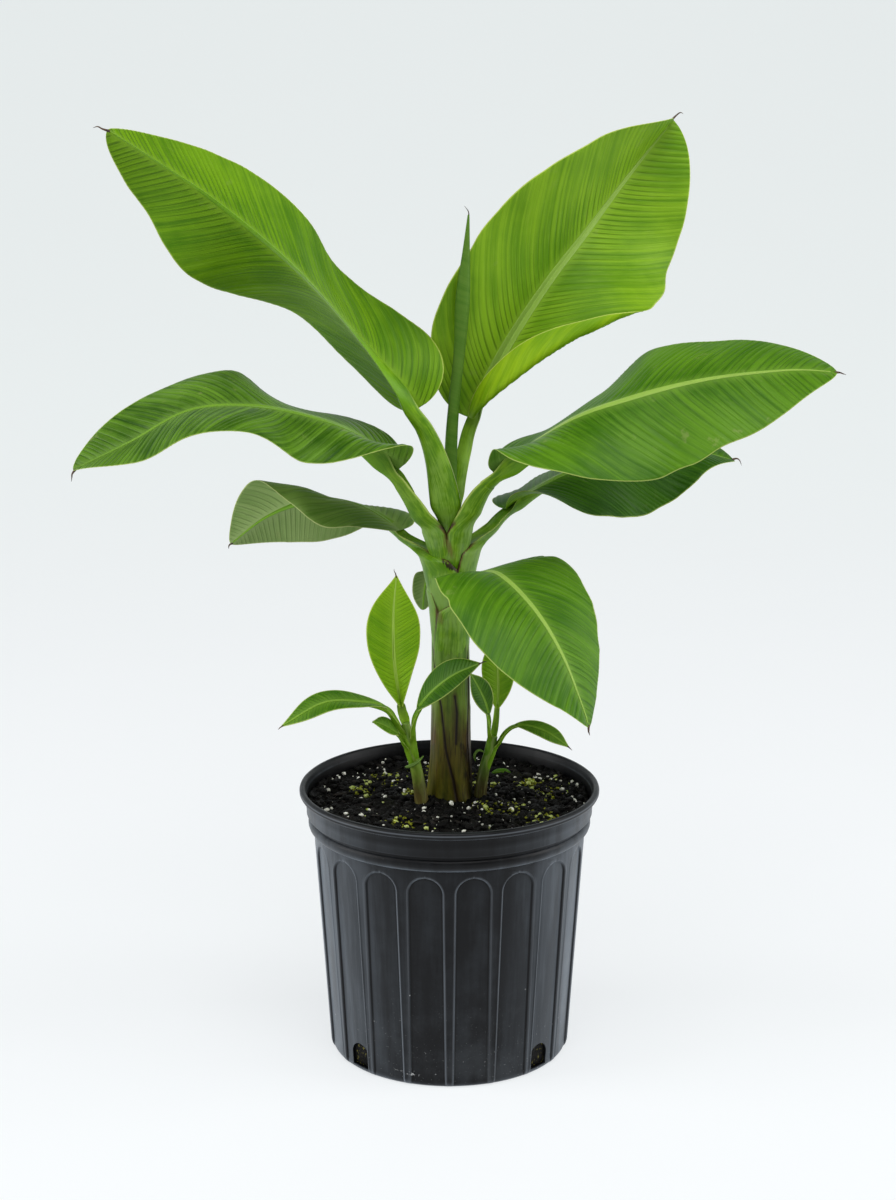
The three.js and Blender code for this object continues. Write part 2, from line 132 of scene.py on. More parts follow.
def close_skin(piece):
    """Merges doubles, fills open ends and turns all faces outwards."""
    take(piece)
    bpy.ops.object.mode_set(mode="EDIT")
    bpy.ops.mesh.select_all(action="SELECT")
    bpy.ops.mesh.remove_doubles(threshold=1e-6)
    bpy.ops.mesh.select_all(action="SELECT")
    bpy.ops.mesh.fill_holes(sides=0)
    bpy.ops.mesh.select_all(action="SELECT")
    bpy.ops.mesh.normals_make_consistent(inside=False)
    bpy.ops.object.mode_set(mode="OBJECT")
    bpy.ops.object.shade_smooth()


def finish_piece(piece, materials, nodes=()):
    """Gives a piece its materials, its body and the solids that it stands for."""
    piece.data.materials.clear()
    for material in materials:
        piece.data.materials.append(material)
    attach(piece, "root")
    if nodes:
        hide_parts(*nodes)


def finish_skin(piece, materials, nodes=(), sides=None):
    """Finishes a skin, its faces with the first or second material as sides says, and closes it."""
    finish_piece(piece, materials, nodes)
    if sides is not None:
        piece.data.polygons.foreach_set("material_index", sides)
    close_skin(piece)


def corners_of(piece):
    """The places of a piece's vertices, as rows of x, y and z."""
    places = np.empty(len(piece.data.vertices) * 3)
    piece.data.vertices.foreach_get("co", places)
    return places.reshape(-1, 3)


def place_corners(piece, places):
    """Moves a piece's vertices to new places."""
    piece.data.vertices.foreach_set("co", np.ascontiguousarray(places, dtype=np.float32).reshape(-1))
    piece.data.update()


def ease(value, low, high):
    """A smooth step from 0 at low to 1 at high."""
    share = np.clip((value - low) / (high - low), 0, 1)
    return share * share * (3 - 2 * share)


def turned_pot():
    """Extrudes the pot's profile from one corner and spins it into a closed wall."""
    stand_alone()
    bpy.ops.mesh.primitive_plane_add(size=MM)
    pot = bpy.context.object
    bpy.ops.object.mode_set(mode="EDIT")
    bpy.ops.mesh.merge(type="CENTER")
    for before, after in zip(pot_profile, pot_profile[1:]):
        step = ((after[0] - before[0]) * MM, 0, (after[1] - before[1]) * MM)
        bpy.ops.mesh.extrude_region_move(TRANSFORM_OT_translate={"value": step})
    bpy.ops.mesh.select_all(action="SELECT")
    steps = PANEL_COUNT * COLUMNS_PER_PANEL
    bpy.ops.mesh.spin(steps=steps, angle=math.tau, center=(0, 0, 0), axis=(0, 0, 1))
    bpy.ops.object.mode_set(mode="OBJECT")
    return pot


def press_panels(pot):
    """Gathers the wall's columns at the panels' edges and presses the arched panels in."""
    places = corners_of(pot) / MM
    radius = np.hypot(places[:, 0], places[:, 1])
    height = places[:, 2]
    on_wall = (height > 1) & (height < ROLL_LEVEL - 1) & (np.abs(radius - body_radius(height)) < 1.5)
    on_foot = (height <= FOOT_LEVEL) & (radius > FOOT_RADIUS - 1)
    wall = np.nonzero(on_wall | on_foot)[0]
    radius, height = radius[wall], height[wall]
    pitch = math.tau / PANEL_COUNT
    turn = np.arctan2(places[wall, 1], places[wall, 0]) + math.pi / 2
    panel = np.floor(turn / pitch)
    share = (turn / pitch - panel - 0.5) * 2
    half_pitch = pitch / 2 * radius
    above = np.maximum(height - (PANEL_TOP - PANEL_HALF), 0)
    edge = np.sqrt(np.maximum(PANEL_HALF**2 - above**2, 0))
    edge = np.clip(edge, NARROWEST_PANEL, half_pitch - RIDGE_HALF)
    inner, outer = edge - GATHER_HALF, edge + GATHER_HALF
    beside = np.abs(share) / GATHERED
    across = np.where(beside < 1, inner * beside, inner + (outer - inner) * (beside - 1))
    on_ridge = (beside - 2) * GATHERED / (1 - 2 * GATHERED)
    across = np.where(beside > 2, outer + (half_pitch - outer) * on_ridge, across)
    outline = np.where(above > 0, np.hypot(across, above), across) - PANEL_HALF
    low = ease(height, -2, 9)
    depth = PANEL_DEPTH * (1 - ease(outline, -PANEL_EDGE, PANEL_EDGE)) * low
    lip = LIP_HEIGHT * np.exp(-((outline - 2 * PANEL_EDGE) / 0.8) ** 2) * low
    turned = (panel + 0.5) * pitch + np.sign(share) * across / radius - math.pi / 2
    out = radius - depth + lip
    places[wall, 0] = out * np.cos(turned)
    places[wall, 1] = out * np.sin(turned)
    place_corners(pot, places * MM)


def cut_drains(pot):
    """Cuts the four arched drain holes through the foot of the wall."""
    middle = (DRAIN_TOP - DRAIN_HALF) * MM
    for angle in DRAIN_ANGLES:
        stand_alone()
        bpy.ops.mesh.primitive_cylinder_add(vertices=48, radius=DRAIN_HALF * MM, depth=0.04)
        cutter = bpy.context.object
        turn = math.radians(angle)
        cutter.rotation_euler = (math.pi / 2, 0, turn)
        cutter.location = (math.sin(turn) * FOOT_RADIUS * MM, -math.cos(turn) * FOOT_RADIUS * MM, middle)
        bpy.ops.object.transform_apply(location=True, rotation=True, scale=True)
        places = corners_of(cutter)
        share = (middle - places[:, 2]) / (DRAIN_HALF * MM)
        flat = np.clip(share * 3, 0, 1) * (middle - DRAIN_FOOT * MM)
        places[:, 2] = np.where(share > 0, middle - flat, places[:, 2])
        place_corners(cutter, places)
        take(pot)
        hole = pot.modifiers.new("drain", "BOOLEAN")
        hole.operation = "DIFFERENCE"
        hole.solver = "MANIFOLD"
        hole.object = cutter
        bpy.ops.object.modifier_apply(modifier=hole.name)
        bpy.data.objects.remove(cutter)


class Wire:
    """One output of a shader node; sums, differences and products add Math nodes of their own."""

    def __init__(self, tree, socket=None):
        self.tree = tree
        self.socket = socket

    def node(self, kind, settings=None, values=None, output=0):
        """Adds any other node: its settings first, then a value or a wire for each socket."""
        made = self.tree.nodes.new(kind)
        for name, setting in (settings or {}).items():
            setattr(made, name, setting)
        for name, value in (values or {}).items():
            if isinstance(value, Wire):
                self.tree.links.new(value.socket, made.inputs[name])
            else:
                made.inputs[name].default_value = value
        return Wire(self.tree, made.outputs[output])

    def math(self, operation, other=0.0):
        """This wire and another through a Math node."""
        return self.node("ShaderNodeMath", {"operation": operation}, {0: self, 1: other})

    def vector(self, operation, other, output=0):
        """This wire and another through a Vector Math node."""
        return self.node("ShaderNodeVectorMath", {"operation": operation}, {0: self, 1: other}, output)

    def __add__(self, other):
        return self.math("ADD", other)

    def __sub__(self, other):
        return self.math("SUBTRACT", other)

    def __rsub__(self, other):
        return self.node("ShaderNodeMath", {"operation": "SUBTRACT"}, {0: other, 1: self})

    def __mul__(self, other):
        return self.math("MULTIPLY", other)

    __radd__ = __add__
    __rmul__ = __mul__

    def size(self):
        """The value without its sign."""
        return self.math("ABSOLUTE")

    def step(self, low, high):
        """A smooth step from 0 at low to 1 at high."""
        values = {"Value": self, "From Min": low, "From Max": high}
        return self.node("ShaderNodeMapRange", {"interpolation_type": "SMOOTHSTEP"}, values)

    def noise(self, scale, detail=3.0, roughness=0.5, stretch=(1, 1, 1)):
        """Smooth noise on this wire's coordinates, stretched along an axis where it is given."""
        spot = self if stretch == (1, 1, 1) else self.vector("MULTIPLY", stretch)
        values = {"Vector": spot, "Scale": scale, "Detail": detail, "Roughness": roughness}
        return self.node("ShaderNodeTexNoise", None, values)

    def colours(self, first, second):
        """Goes from the first colour to the second as this wire goes from 0 to 1."""
        ends = [end if isinstance(end, Wire) else paint(*end) for end in (first, second)]
        return self.node("ShaderNodeMix", {"data_type": "RGBA"}, {0: self, 6: ends[0], 7: ends[1]}, 2)

    def parts(self):
        """The x, y and z of a vector wire."""
        return [self.node("ShaderNodeSeparateXYZ", None, {0: self}, i) for i in range(3)]


def new_finish(name):
    """A new empty material, and the wire that its nodes are added through."""
    material = bpy.data.materials.new(name)
    material.use_nodes = True
    material.node_tree.nodes.clear()
    return material, Wire(material.node_tree)


def object_place(wire):
    """Where a point is on the whole object, in metres."""
    return wire.node("ShaderNodeTexCoord", output=3)


def relief(height, strength, distance):
    """Turns a height into a bumped normal."""
    values = {"Strength": strength, "Distance": distance, "Height": height}
    return height.node("ShaderNodeBump", None, values)


def coat(wire, colour, roughness, normal, shine=0.5):
    """An opaque surface with its colour, its roughness and its relief."""
    return wire.node("ShaderNodeBsdfPrincipled", None, {
        "Base Color": colour, "Roughness": roughness, "Normal": normal, "Specular IOR Level": shine,
    })


def show(wire, surface):
    """Ends a material with its surface."""
    end = wire.tree.nodes.new("ShaderNodeOutputMaterial")
    wire.tree.links.new(surface.socket, end.inputs["Surface"])


def paint(red, green, blue):
    """A colour given as it looks, from 0 to 255 a channel, in the light units that shaders use."""
    shares = [channel / 255 for channel in (red, green, blue)]
    linear = [s / 12.92 if s <= 0.04045 else ((s + 0.055) / 1.055) ** 2.4 for s in shares]
    return (*linear, 1.0)


def from_line(place, start, end):
    """How far each point is from the straight line between two places, in metres."""
    way = Vector(end) - Vector(start)
    lead = place.vector("SUBTRACT", start)
    share = lead.vector("DOT_PRODUCT", way / way.length_squared, 1)
    held = share.node("ShaderNodeClamp", None, {0: share})
    foot = held.node("ShaderNodeVectorMath", {"operation": "SCALE"}, {0: way, 3: held})
    return lead.vector("DISTANCE", foot, 1)


def pot_plastic():
    """Matt black polyethylene: a fine moulded grain, faint upright drag marks, dust and scuffs, with painted
    highlights on the panel edges and the rim bead, painted shade in the panel recesses and inside the pot,
    and a painted sheen where the wall turns away.
    """
    material, wire = new_finish("pot_plastic")
    place = object_place(wire)
    x, y, z = place.parts()
    turn = y.math("ARCTAN2", x) * (PANEL_COUNT / math.tau) + (PANEL_COUNT / 4)
    share = (turn.math("FRACT") - 0.5).size()
    radius = (x * x + y * y).math("SQRT")
    across = share * radius * (math.tau / PANEL_COUNT)
    above = (z - (PANEL_TOP - PANEL_HALF) * MM).math("MAXIMUM")
    outline = (across * across + above * above).math("SQRT") - PANEL_HALF * MM
    wall_slope = (BODY_TOP - BODY_BOTTOM) / (ROLL_LEVEL - FOOT_LEVEL)
    wall_start = (BODY_BOTTOM - FOOT_LEVEL * wall_slope) * MM
    outside = (radius - z * wall_slope - wall_start).step(-0.0034, -0.0024)
    on_panels = outside * (1 - z.step(0.2098, 0.2102))
    # A pale line along each panel's rim: a painted highlight where the rounded edge catches the lamps, with
    # the edge also rubbed a little pale.
    rubbed_edge_highlight = (1 - (outline - 0.0009).size().step(0.0003, 0.0011)) * on_panels
    inside = 1 - outside * (1 - z.step(0.2296, 0.2304) * (1 - radius.step(0.1329, 0.1333)))
    # A dark line just inside each panel's rim: painted shade in the recess.
    shaded = (1 - (outline + 0.0012).size().step(0.0003, 0.0013)) * on_panels
    cloud = place.noise(26, 5.0, 0.6)
    drag = place.noise(70, 4.0, 0.65, (1, 1, 0.05))
    grain = place.noise(1500, 2.0)
    specks = place.noise(900, 2.0, 0.5).step(0.72, 0.76)
    cells = {"Vector": place, "Scale": FLECK_SCALE}
    flecks = place.node("ShaderNodeTexVoronoi", None, cells)
    lot = place.node("ShaderNodeTexVoronoi", None, cells, 1).parts()[0]
    low = 1 - z.step(0.01, 0.12)
    dust = (1 - flecks.step(0.02, 0.065)) * (lot + low * 0.09).step(0.92, 0.94)
    scuff = place.noise(300, 3.0, 0.6, (1, 1, 2.2)).step(0.7, 0.73) * low
    scuff = scuff * (cloud + low * 0.1).step(0.5, 0.62)
    scraped = from_line(place, *SCUFF)
    scraped = (scraped + (grain - 0.5) * 0.005 + (cloud - 0.5) * 0.006).step(0.0003, 0.0009)
    scraped = (1 - scraped) * place.noise(330, 3.0, 0.6).step(0.48, 0.54)
    film = (cloud * 0.5 + drag * 0.5).step(0.4, 0.66)
    black = film.colours((14, 15, 18), (34, 37, 41))
    banded = (z.step(0.2165, 0.2185) * 0.6).colours(black, (5, 5, 6))
    edge_shaded = (shaded * 0.7).colours(banded, (5, 5, 6))
    # A thin light line along the top of the rim bead: a painted highlight.
    bead_highlight = (1 - (z - 0.2528).size().step(0.0002, 0.0011)) * radius.step(0.1385, 0.1395)
    lined = (rubbed_edge_highlight * (drag * 0.6 + 0.06) + bead_highlight * 0.6).colours(edge_shaded, (98, 103, 109))
    # Paler where the wall turns away from view, in upright streaks: a painted sheen, weaker on the rim band
    # and weakest on the bead.
    grazing = wire.node("ShaderNodeLayerWeight", None, {"Blend": 0.5}, output=1)
    painted_sheen = grazing.step(0.1, 0.8) * (drag.step(0.35, 0.65) * 0.5 + 0.5) * (1 - inside)
    painted_sheen = painted_sheen * (1 - z.step(0.2165, 0.2185) * 0.35) * (1 - z.step(0.2485, 0.2515) * 0.85)
    sheened = (painted_sheen * 0.8).colours(lined, (112, 120, 129))
    # The inner wall is darkened: painted shade inside the pot.
    inside_shaded = (inside * 0.8).colours(sheened, (6, 6, 7))
    dulled = (low * cloud.step(0.42, 0.7) * 0.3 * (1 - inside)).colours(inside_shaded, (62, 65, 68))
    chalk = dust * 0.9 + specks * low * 0.45 + scuff * 0.7 + scraped * 0.8
    colour = chalk.colours(dulled, (196, 198, 198))
    bumps = relief(grain * 0.55 + drag * 0.45, 0.3, 0.0006)
    show(wire, coat(wire, colour, film * 0.14 + 0.36, bumps, 0.18))
    return material


pot = turned_pot()
close_skin(pot)
press_panels(pot)
cut_drains(pot)
take(pot)
bpy.ops.object.shade_smooth_by_angle(angle=math.radians(50))
pot.name = "nursery_pot"
finish_piece(pot, [pot_plastic()], ["pot"])


# Potting mix
# Moist black bark and peat, lumpy, heaped a little round the stems, with white perlite grains,
# green moss crumbs and bark shreds on top. It fills the pot to a finger's breadth under the rim.

SOIL_LEVEL = 240.0
SOIL_MOUND = 8.0
SOIL_MOUND_RADIUS = 46.0
SOIL_BRIM = 131.0
SOIL_FOOT = 108.6
SOIL_FLOOR = 5.0
SOIL_SHOULDER = (122.0, 210.0)
SOIL_SIDE_ROWS = 12
NEARLY_NONE = 0.001
SOIL_COLUMNS = 360
SOIL_RINGS = 120
STEMS = ((0, 0, 22), (-24, -17, 8), (28, -6, 7.5))
CRUMB_REACH = SOIL_BRIM - 4
CRUMB_RISE = 0.3
CRUMPLE = 0.168
SCATTER = np.random.default_rng(11)


def soil_height(x, y):
    """How high the mix lies at a place, in millimetres."""
    mound = SOIL_MOUND * math.exp(-(x * x + y * y) / SOIL_MOUND_RADIUS**2)
    lumps = 5.0 * noise.noise(Vector((x / 24, y / 24, 4)))
    clods = 4.2 * abs(noise.noise(Vector((x / 9, y / 9, 9))))
    crumbs = 2.4 * noise.noise(Vector((x / 3.4, y / 3.4, 2)))
    brim = 2.2 * max(0.0, (math.hypot(x, y) - 114) / 17)
    return SOIL_LEVEL - 1.0 + mound + lumps + clods + crumbs + brim


def skin(name, points):
    """A closed skin over rows of points, in millimetres: a flat grid whose long sides meet."""
    rows, columns = points.shape[:2]
    stand_alone()
    bpy.ops.mesh.primitive_grid_add(x_subdivisions=columns - 1, y_subdivisions=rows - 1, size=1)
    piece = bpy.context.object
    piece.name = name
    place_corners(piece, points.reshape(-1, 3) * MM)
    return piece


def soil_skin():
    """The heap: its floor, its side and its lumpy top, ring by ring."""
    angle = np.linspace(0, math.tau, SOIL_COLUMNS + 1)
    angle[-1] = 0
    side = np.linspace((SOIL_FOOT, SOIL_FLOOR), SOIL_SHOULDER, SOIL_SIDE_ROWS + 1)
    rings = [(NEARLY_NONE, SOIL_FLOOR), (60.0, SOIL_FLOOR), *side]
    rings += [(124.4, 221.0), (127.2, 229.6), (130.6, 232.6)]
    points = [[(r * math.cos(a), r * math.sin(a), height) for a in angle] for r, height in rings]
    for radius in [*np.linspace(SOIL_BRIM, 0, SOIL_RINGS, endpoint=False), NEARLY_NONE]:
        spots = [(radius * math.cos(a), radius * math.sin(a)) for a in angle]
        points.append([(x, y, soil_height(x, y)) for x, y in spots])
    return skin("potting_mix", np.array(points))


def mix_finish():
    """Moist peat and bark: near black, with brown fibres and dull green films here and there."""
    material, wire = new_finish("moist_mix")
    place = object_place(wire)
    coarse = place.noise(140, 5.0, 0.65)
    fine = place.noise(700, 4.0, 0.7)
    algae = place.noise(26, 4.0, 0.6).step(0.6, 0.72) * fine.step(0.45, 0.62)
    earth = (coarse * 0.6 + fine * 0.4).step(0.4, 0.72).colours((2, 2, 2), (22, 19, 17))
    films = (algae * 0.5).colours(earth, (48, 52, 14))
    bits = place.noise(330, 3.0, 0.6).step(0.6, 0.66) * (1 - place.parts()[2].step(0.03, 0.04))
    colour = (bits * 0.8).colours(films, (122, 116, 52))
    show(wire, coat(wire, colour, fine * 0.7 + 0.2, relief(coarse * 0.6 + fine * 0.4, 0.9, 0.004), 0.12))
    return material


def crumb_finish(name, dark, light, roughness):
    """A plain crumb of mineral, bark or moss, mottled from dark to light."""
    material, wire = new_finish(name)
    mottle = object_place(wire).noise(420, 4.0, 0.6)
    colour = mottle.step(0.35, 0.65).colours(dark, light)
    show(wire, coat(wire, colour, mottle * 0.2 + roughness, relief(mottle, 0.6, 0.001), 0.2))
    return material


def clear_of_stems(x, y, room):
    """Whether a place on the mix is clear of the three stems."""
    return all(math.hypot(x - cx, y - cy) > radius + room for cx, cy, radius in STEMS)


def scattered(name, count, sizes, squash, patches):
    """Many crumbs of one shape in one mesh, each turned, sized and laid on the mix."""
    stand_alone()
    bpy.ops.mesh.primitive_ico_sphere_add(subdivisions=1 if count > 200 else 2, radius=1)
    seed = bpy.context.object
    shape = corners_of(seed)
    faces = np.array([tuple(face.vertices) for face in seed.data.polygons])
    bpy.data.objects.remove(seed)
    places, corners = [], []
    while len(places) < count:
        spread = CRUMB_REACH * math.sqrt(SCATTER.random())
        turn = SCATTER.random() * math.tau
        x, y = spread * math.cos(turn), spread * math.sin(turn)
        if patches:
            px, py, width = patches[len(places) % len(patches)]
            x, y = px + SCATTER.normal() * width, py + SCATTER.normal() * width
        size = sizes[0] + (sizes[1] - sizes[0]) * SCATTER.random() ** 2
        if math.hypot(x, y) > CRUMB_REACH or not clear_of_stems(x, y, size):
            continue
        local = shape * (1 + CRUMPLE * SCATTER.standard_normal((len(shape), 1))) * [1, *squash] * size
        around = SCATTER.random() * math.tau
        tilt = (SCATTER.random() - 0.5) * 0.9
        turned = local @ np.array(Euler((0, tilt, around)).to_matrix()).T
        height = soil_height(x, y) + size * squash[1] * CRUMB_RISE
        corners.append(faces + len(shape) * len(places))
        places.append(turned + [x, y, height])
    mesh = bpy.data.meshes.new(name)
    mesh.from_pydata(np.concatenate(places) * MM, [], np.concatenate(corners).tolist())
    piece = bpy.data.objects.new(name, mesh)
    bpy.context.scene.collection.objects.link(piece)
    take(piece)
    bpy.ops.object.shade_smooth()
    return piece


finish_skin(soil_skin(), [mix_finish()], ["soil"])

moss_patches = [(72, 42, 9), (62, -30, 10), (92, 20, 7), (36, -34, 8), (-60, 55, 10), (-35, 8, 7),
                (-84, 22, 6), (-44, -62, 8), (14, 66, 10), (84, -52, 8), (-20, 84, 12), (30, 30, 8)]
wide_patches = [(-90, -30, 16), (-70, 70, 18), (92, -46, 14), (40, -98, 16), (-30, -100, 14),
                (96, 50, 12)]
crumbs = [
    ("mix_clods", 1500, (1.4, 5.6), (0.75, 0.6), None, mix_finish()),
    ("bark_shreds", 380, (1.8, 9.0), (0.32, 0.2), None,
     crumb_finish("bark", (5, 4, 4), (36, 30, 25), 0.5)),
    ("perlite_grains", 260, (0.8, 3.0), (0.8, 0.75), None,
     crumb_finish("perlite", (196, 195, 182), (240, 240, 232), 0.7)),
    ("perlite_dust", 420, (0.3, 0.85), (0.8, 0.75), None,
     crumb_finish("perlite_dust", (170, 170, 150), (226, 226, 214), 0.7)),
    ("mossy_grains", 170, (0.9, 3.1), (0.85, 0.75), moss_patches + wide_patches,
     crumb_finish("mossy_grain", (132, 150, 48), (204, 212, 140), 0.7)),
    ("moss_crumbs", 900, (0.6, 2.2), (0.9, 0.7), moss_patches,
     crumb_finish("moss", (66, 70, 10), (150, 154, 44), 0.8)),
]
for name, count, sizes, squash, patches, material in crumbs:
    finish_piece(scattered(name, count, sizes, squash, patches), [material])


# Pseudostem
# The stem is no wood: it is the leaf bases, wrapped tightly round each other. Each base ends in
# an edge that slants down from its leafstalk to the far side, where its two edges meet.

STEM_PATH = [[0, 0, 240], [1, 0, 300], [1, 0, 380], [0, 0, 450], [0, 0, 516]]
STEM_RADII = [21.5, 18.5, 17.5, 16.5, 13.5]
STEM_COLUMNS = 200
STEM_ROWS = 360
STEM_SUNK = 3
STEM_HIDDEN = 14
STEM_MEAN_RADIUS = 18.0
SHEATH_CRACKS = [
    [(-127, 424), (-134, 410), (-150, 400), (-158, 387), (-143, 362), (-120, 335), (-102, 293),
     (-80, 265), (-70, 243)],
    [(-77, 346), (-71, 330), (-74, 300)],
    [(-30, 400), (-22, 352), (-34, 300), (-24, 262)],
    [(60, 400), (78, 370), (66, 310), (80, 250)],
    [(150, 400), (138, 366), (152, 300), (140, 250)],
    [(-5, 330), (4, 290), (-4, 255)],
]


def curve_at(points, share):
    """Points on the smooth curve through all the given ones, for shares from 0 to 1."""
    given = np.array(points, float)
    if given.ndim == 1:
        given = given[:, None]
    last = len(given) - 1
    known = np.vstack([2 * given[0] - given[1], given, 2 * given[-1] - given[-2]])
    spot = np.clip(np.asarray(share, float), 0, 1) * last
    index = np.minimum(np.floor(spot).astype(int), last - 1)
    w = (spot - index)[:, None]
    before, start, end, after = (known[index + step] for step in range(4))
    return (
        (2 * w**3 - 3 * w**2 + 1) * start + (w**3 - 2 * w**2 + w) * (end - before) / 2
        + (3 * w**2 - 2 * w**3) * end + (w**3 - w**2) * (after - start) / 2
    )


def value_at(values, share):
    """A named size along a leaf."""
    return curve_at(values, share)[:, 0]


def unit(vectors):
    """The same directions with length one."""
    return vectors / np.linalg.norm(vectors, axis=-1, keepdims=True)


def axis_of(path, radii):
    """A function that gives a stem's middle and its plain radius at each height."""
    levels = [point[2] for point in path]

    def at(height):
        share = np.interp(height, levels, np.linspace(0, 1, len(path)))
        return curve_at(path, share), value_at(radii, share)

    return at


def noise_over(x, y, z):
    """Smooth noise at each place of a grid."""
    return np.vectorize(lambda *spot: noise.noise(Vector(spot)), otypes=[float])(x, y, z)


def crack_distance(cracks, angle, height, radius):
    """How far each point of the stem is from the nearest crack, in millimetres."""
    nearest = np.full(angle.shape, 99.0)
    for crack in cracks:
        for (a0, z0), (a1, z1) in zip(crack, crack[1:]):
            across = np.radians((angle - a0 + 180) % 360 - 180) * radius
            end = math.radians((a1 - a0 + 180) % 360 - 180) * radius
            rise = height - z0
            share = np.clip((across * end + rise * (z1 - z0)) / (end**2 + (z1 - z0) ** 2), 0, 1)
            nearest = np.minimum(nearest, np.hypot(across - share * end, rise - share * (z1 - z0)))
    return nearest


def keep_values(piece, name, *values):
    """Stores up to three numbers at each vertex for the piece's material to read."""
    rows = np.broadcast_arrays(*values, *[0.0] * (3 - len(values)))
    layer = piece.data.attributes.new(name, "FLOAT_VECTOR", "POINT")
    layer.data.foreach_set("vector", np.stack(rows, axis=-1).astype(np.float32).reshape(-1))


def stem_skin():
    """The stem's surface, with its long ribs, its cracks and the swelling at its foot."""
    height = np.linspace(STEM_PATH[0][2] - STEM_SUNK, STEM_PATH[-1][2] - STEM_HIDDEN, STEM_ROWS)
    turn = np.linspace(0, 360, STEM_COLUMNS + 1)
    turn[-1] = 0
    angle, level = np.meshgrid(turn, height)
    centre, plain = main_stem_at(height)
    crack = crack_distance(SHEATH_CRACKS, angle, level, STEM_MEAN_RADIUS)
    spin = np.radians(angle)
    spots = np.array([np.cos(spin) * 4.2, np.sin(spin) * 4.2, level / 60])
    ribs = noise_over(*spots) + 0.6 * noise_over(*spots * 2.7)
    # The last column is plain, so that the skin's two ends meet at a fine step, a sheath's edge.
    ribs[:, -1] = 0
    radius = plain[:, None] - 0.1 + ribs * 0.4 - 4.5 * ease(level, 405, 470)
    radius += 0.5 * np.sin(np.radians(angle + 102)) * np.exp(-(crack / 5.0) ** 2)
    radius -= 0.9 * np.exp(-(crack / 0.9) ** 2)
    radius += 2.4 * np.exp(-(level - 238) / 9)
    x = centre[:, :1] + radius * np.cos(spin)
    y = centre[:, 1:2] + radius * np.sin(spin)
    piece = skin("pseudostem_sheaths", np.stack([x, y, level], axis=-1))
    keep_values(piece, "sheath", crack)
    return piece


def attribute(wire, name):
    """The three numbers stored at the vertices of the piece itself."""
    return wire.node("ShaderNodeAttribute", {"attribute_name": name}, output=1).parts()


def aged(place, green, fibres, fine, cloud):
    """Turns a fresh green into the olive, brown and nearly black of the stem's old sheaths."""
    z = place.parts()[2]
    fresh_above = (z + (cloud - 0.5) * 0.09).step(0.3, 0.375)
    worn = (cloud * 0.5 + fibres * 0.5).step(0.4, 0.6).colours((46, 50, 8), (92, 84, 22))
    base = fresh_above.colours(worn, green)
    bloom = (z + (cloud - 0.5) * 0.12).step(0.33, 0.46) * (fibres * 0.4 + cloud * 0.6).step(0.44, 0.62)
    dusty = (bloom * 0.3).colours(base, (126, 150, 106))
    low = 1 - (z + (cloud - 0.5) * 0.1 - 0.24).step(0.05, 0.15)
    streak = (fine * 0.45 + fibres * 0.55).step(0.5, 0.6) * low
    brown = (streak * 0.75).colours(dusty, (40, 22, 8))
    patch = place.noise(34, 5.0, 0.65, (1, 1, 0.28)).step(0.53, 0.58) * (1 - (z - 0.24).step(0.04, 0.13))
    dark = (patch * 0.85).colours(brown, (20, 14, 10))
    rust = place.noise(55, 4.0, 0.6, (1, 1, 0.35)).step(0.58, 0.68) * (1 - (z - 0.24).step(0.06, 0.16))
    tinted = (rust * 0.3).colours(dark, (104, 66, 20))
    foot = (1 - (z - 0.24).step(0.004, 0.05)) * cloud.step(0.4, 0.6)
    return (foot * 0.5).colours(tinted, (112, 112, 28)), bloom


def sheath_finish():
    """Green under a pale bloom above, olive and brown below, with dark streaks and dark cracks."""
    material, wire = new_finish("leaf_sheaths")
    place = object_place(wire)
    crack = attribute(wire, "sheath")[0]
    fibres = place.noise(190, 4.0, 0.6, (1, 1, 0.05))
    fine = place.noise(620, 3.0, 0.6, (1, 1, 0.04))
    cloud = place.noise(38, 4.0, 0.55, (1, 1, 0.45))
    fresh = (cloud * 0.5 + fibres * 0.5).step(0.38, 0.62).colours((64, 100, 16), (106, 140, 40))
    old, bloom = aged(place, fresh, fibres, fine, cloud)
    crease = 1 - (crack + (fine - 0.5) * 1.6).step(0.5, 1.5)
    halo = (1 - (crack + (cloud - 0.5) * 6).step(0.5, 4.5)) * 0.6
    stained = halo.colours(old, (56, 34, 14))
    colour = (crease * 0.92).colours(stained, (24, 14, 8))
    bumps = relief(fibres * 0.6 + fine * 0.4, 0.4, 0.0014)
    show(wire, coat(wire, colour, bloom * 0.22 + 0.4, bumps, 0.2))
    return material


main_stem_at = axis_of(STEM_PATH, STEM_RADII)
finish_skin(stem_skin(), [sheath_finish()], ["pseudostem"])


# Leafstalks
# Each leaf base narrows to a stalk with a channel along its upper side and thin pale edges,
# and the stalk runs on as the leaf's midrib, getting thinner all the way to the tip.

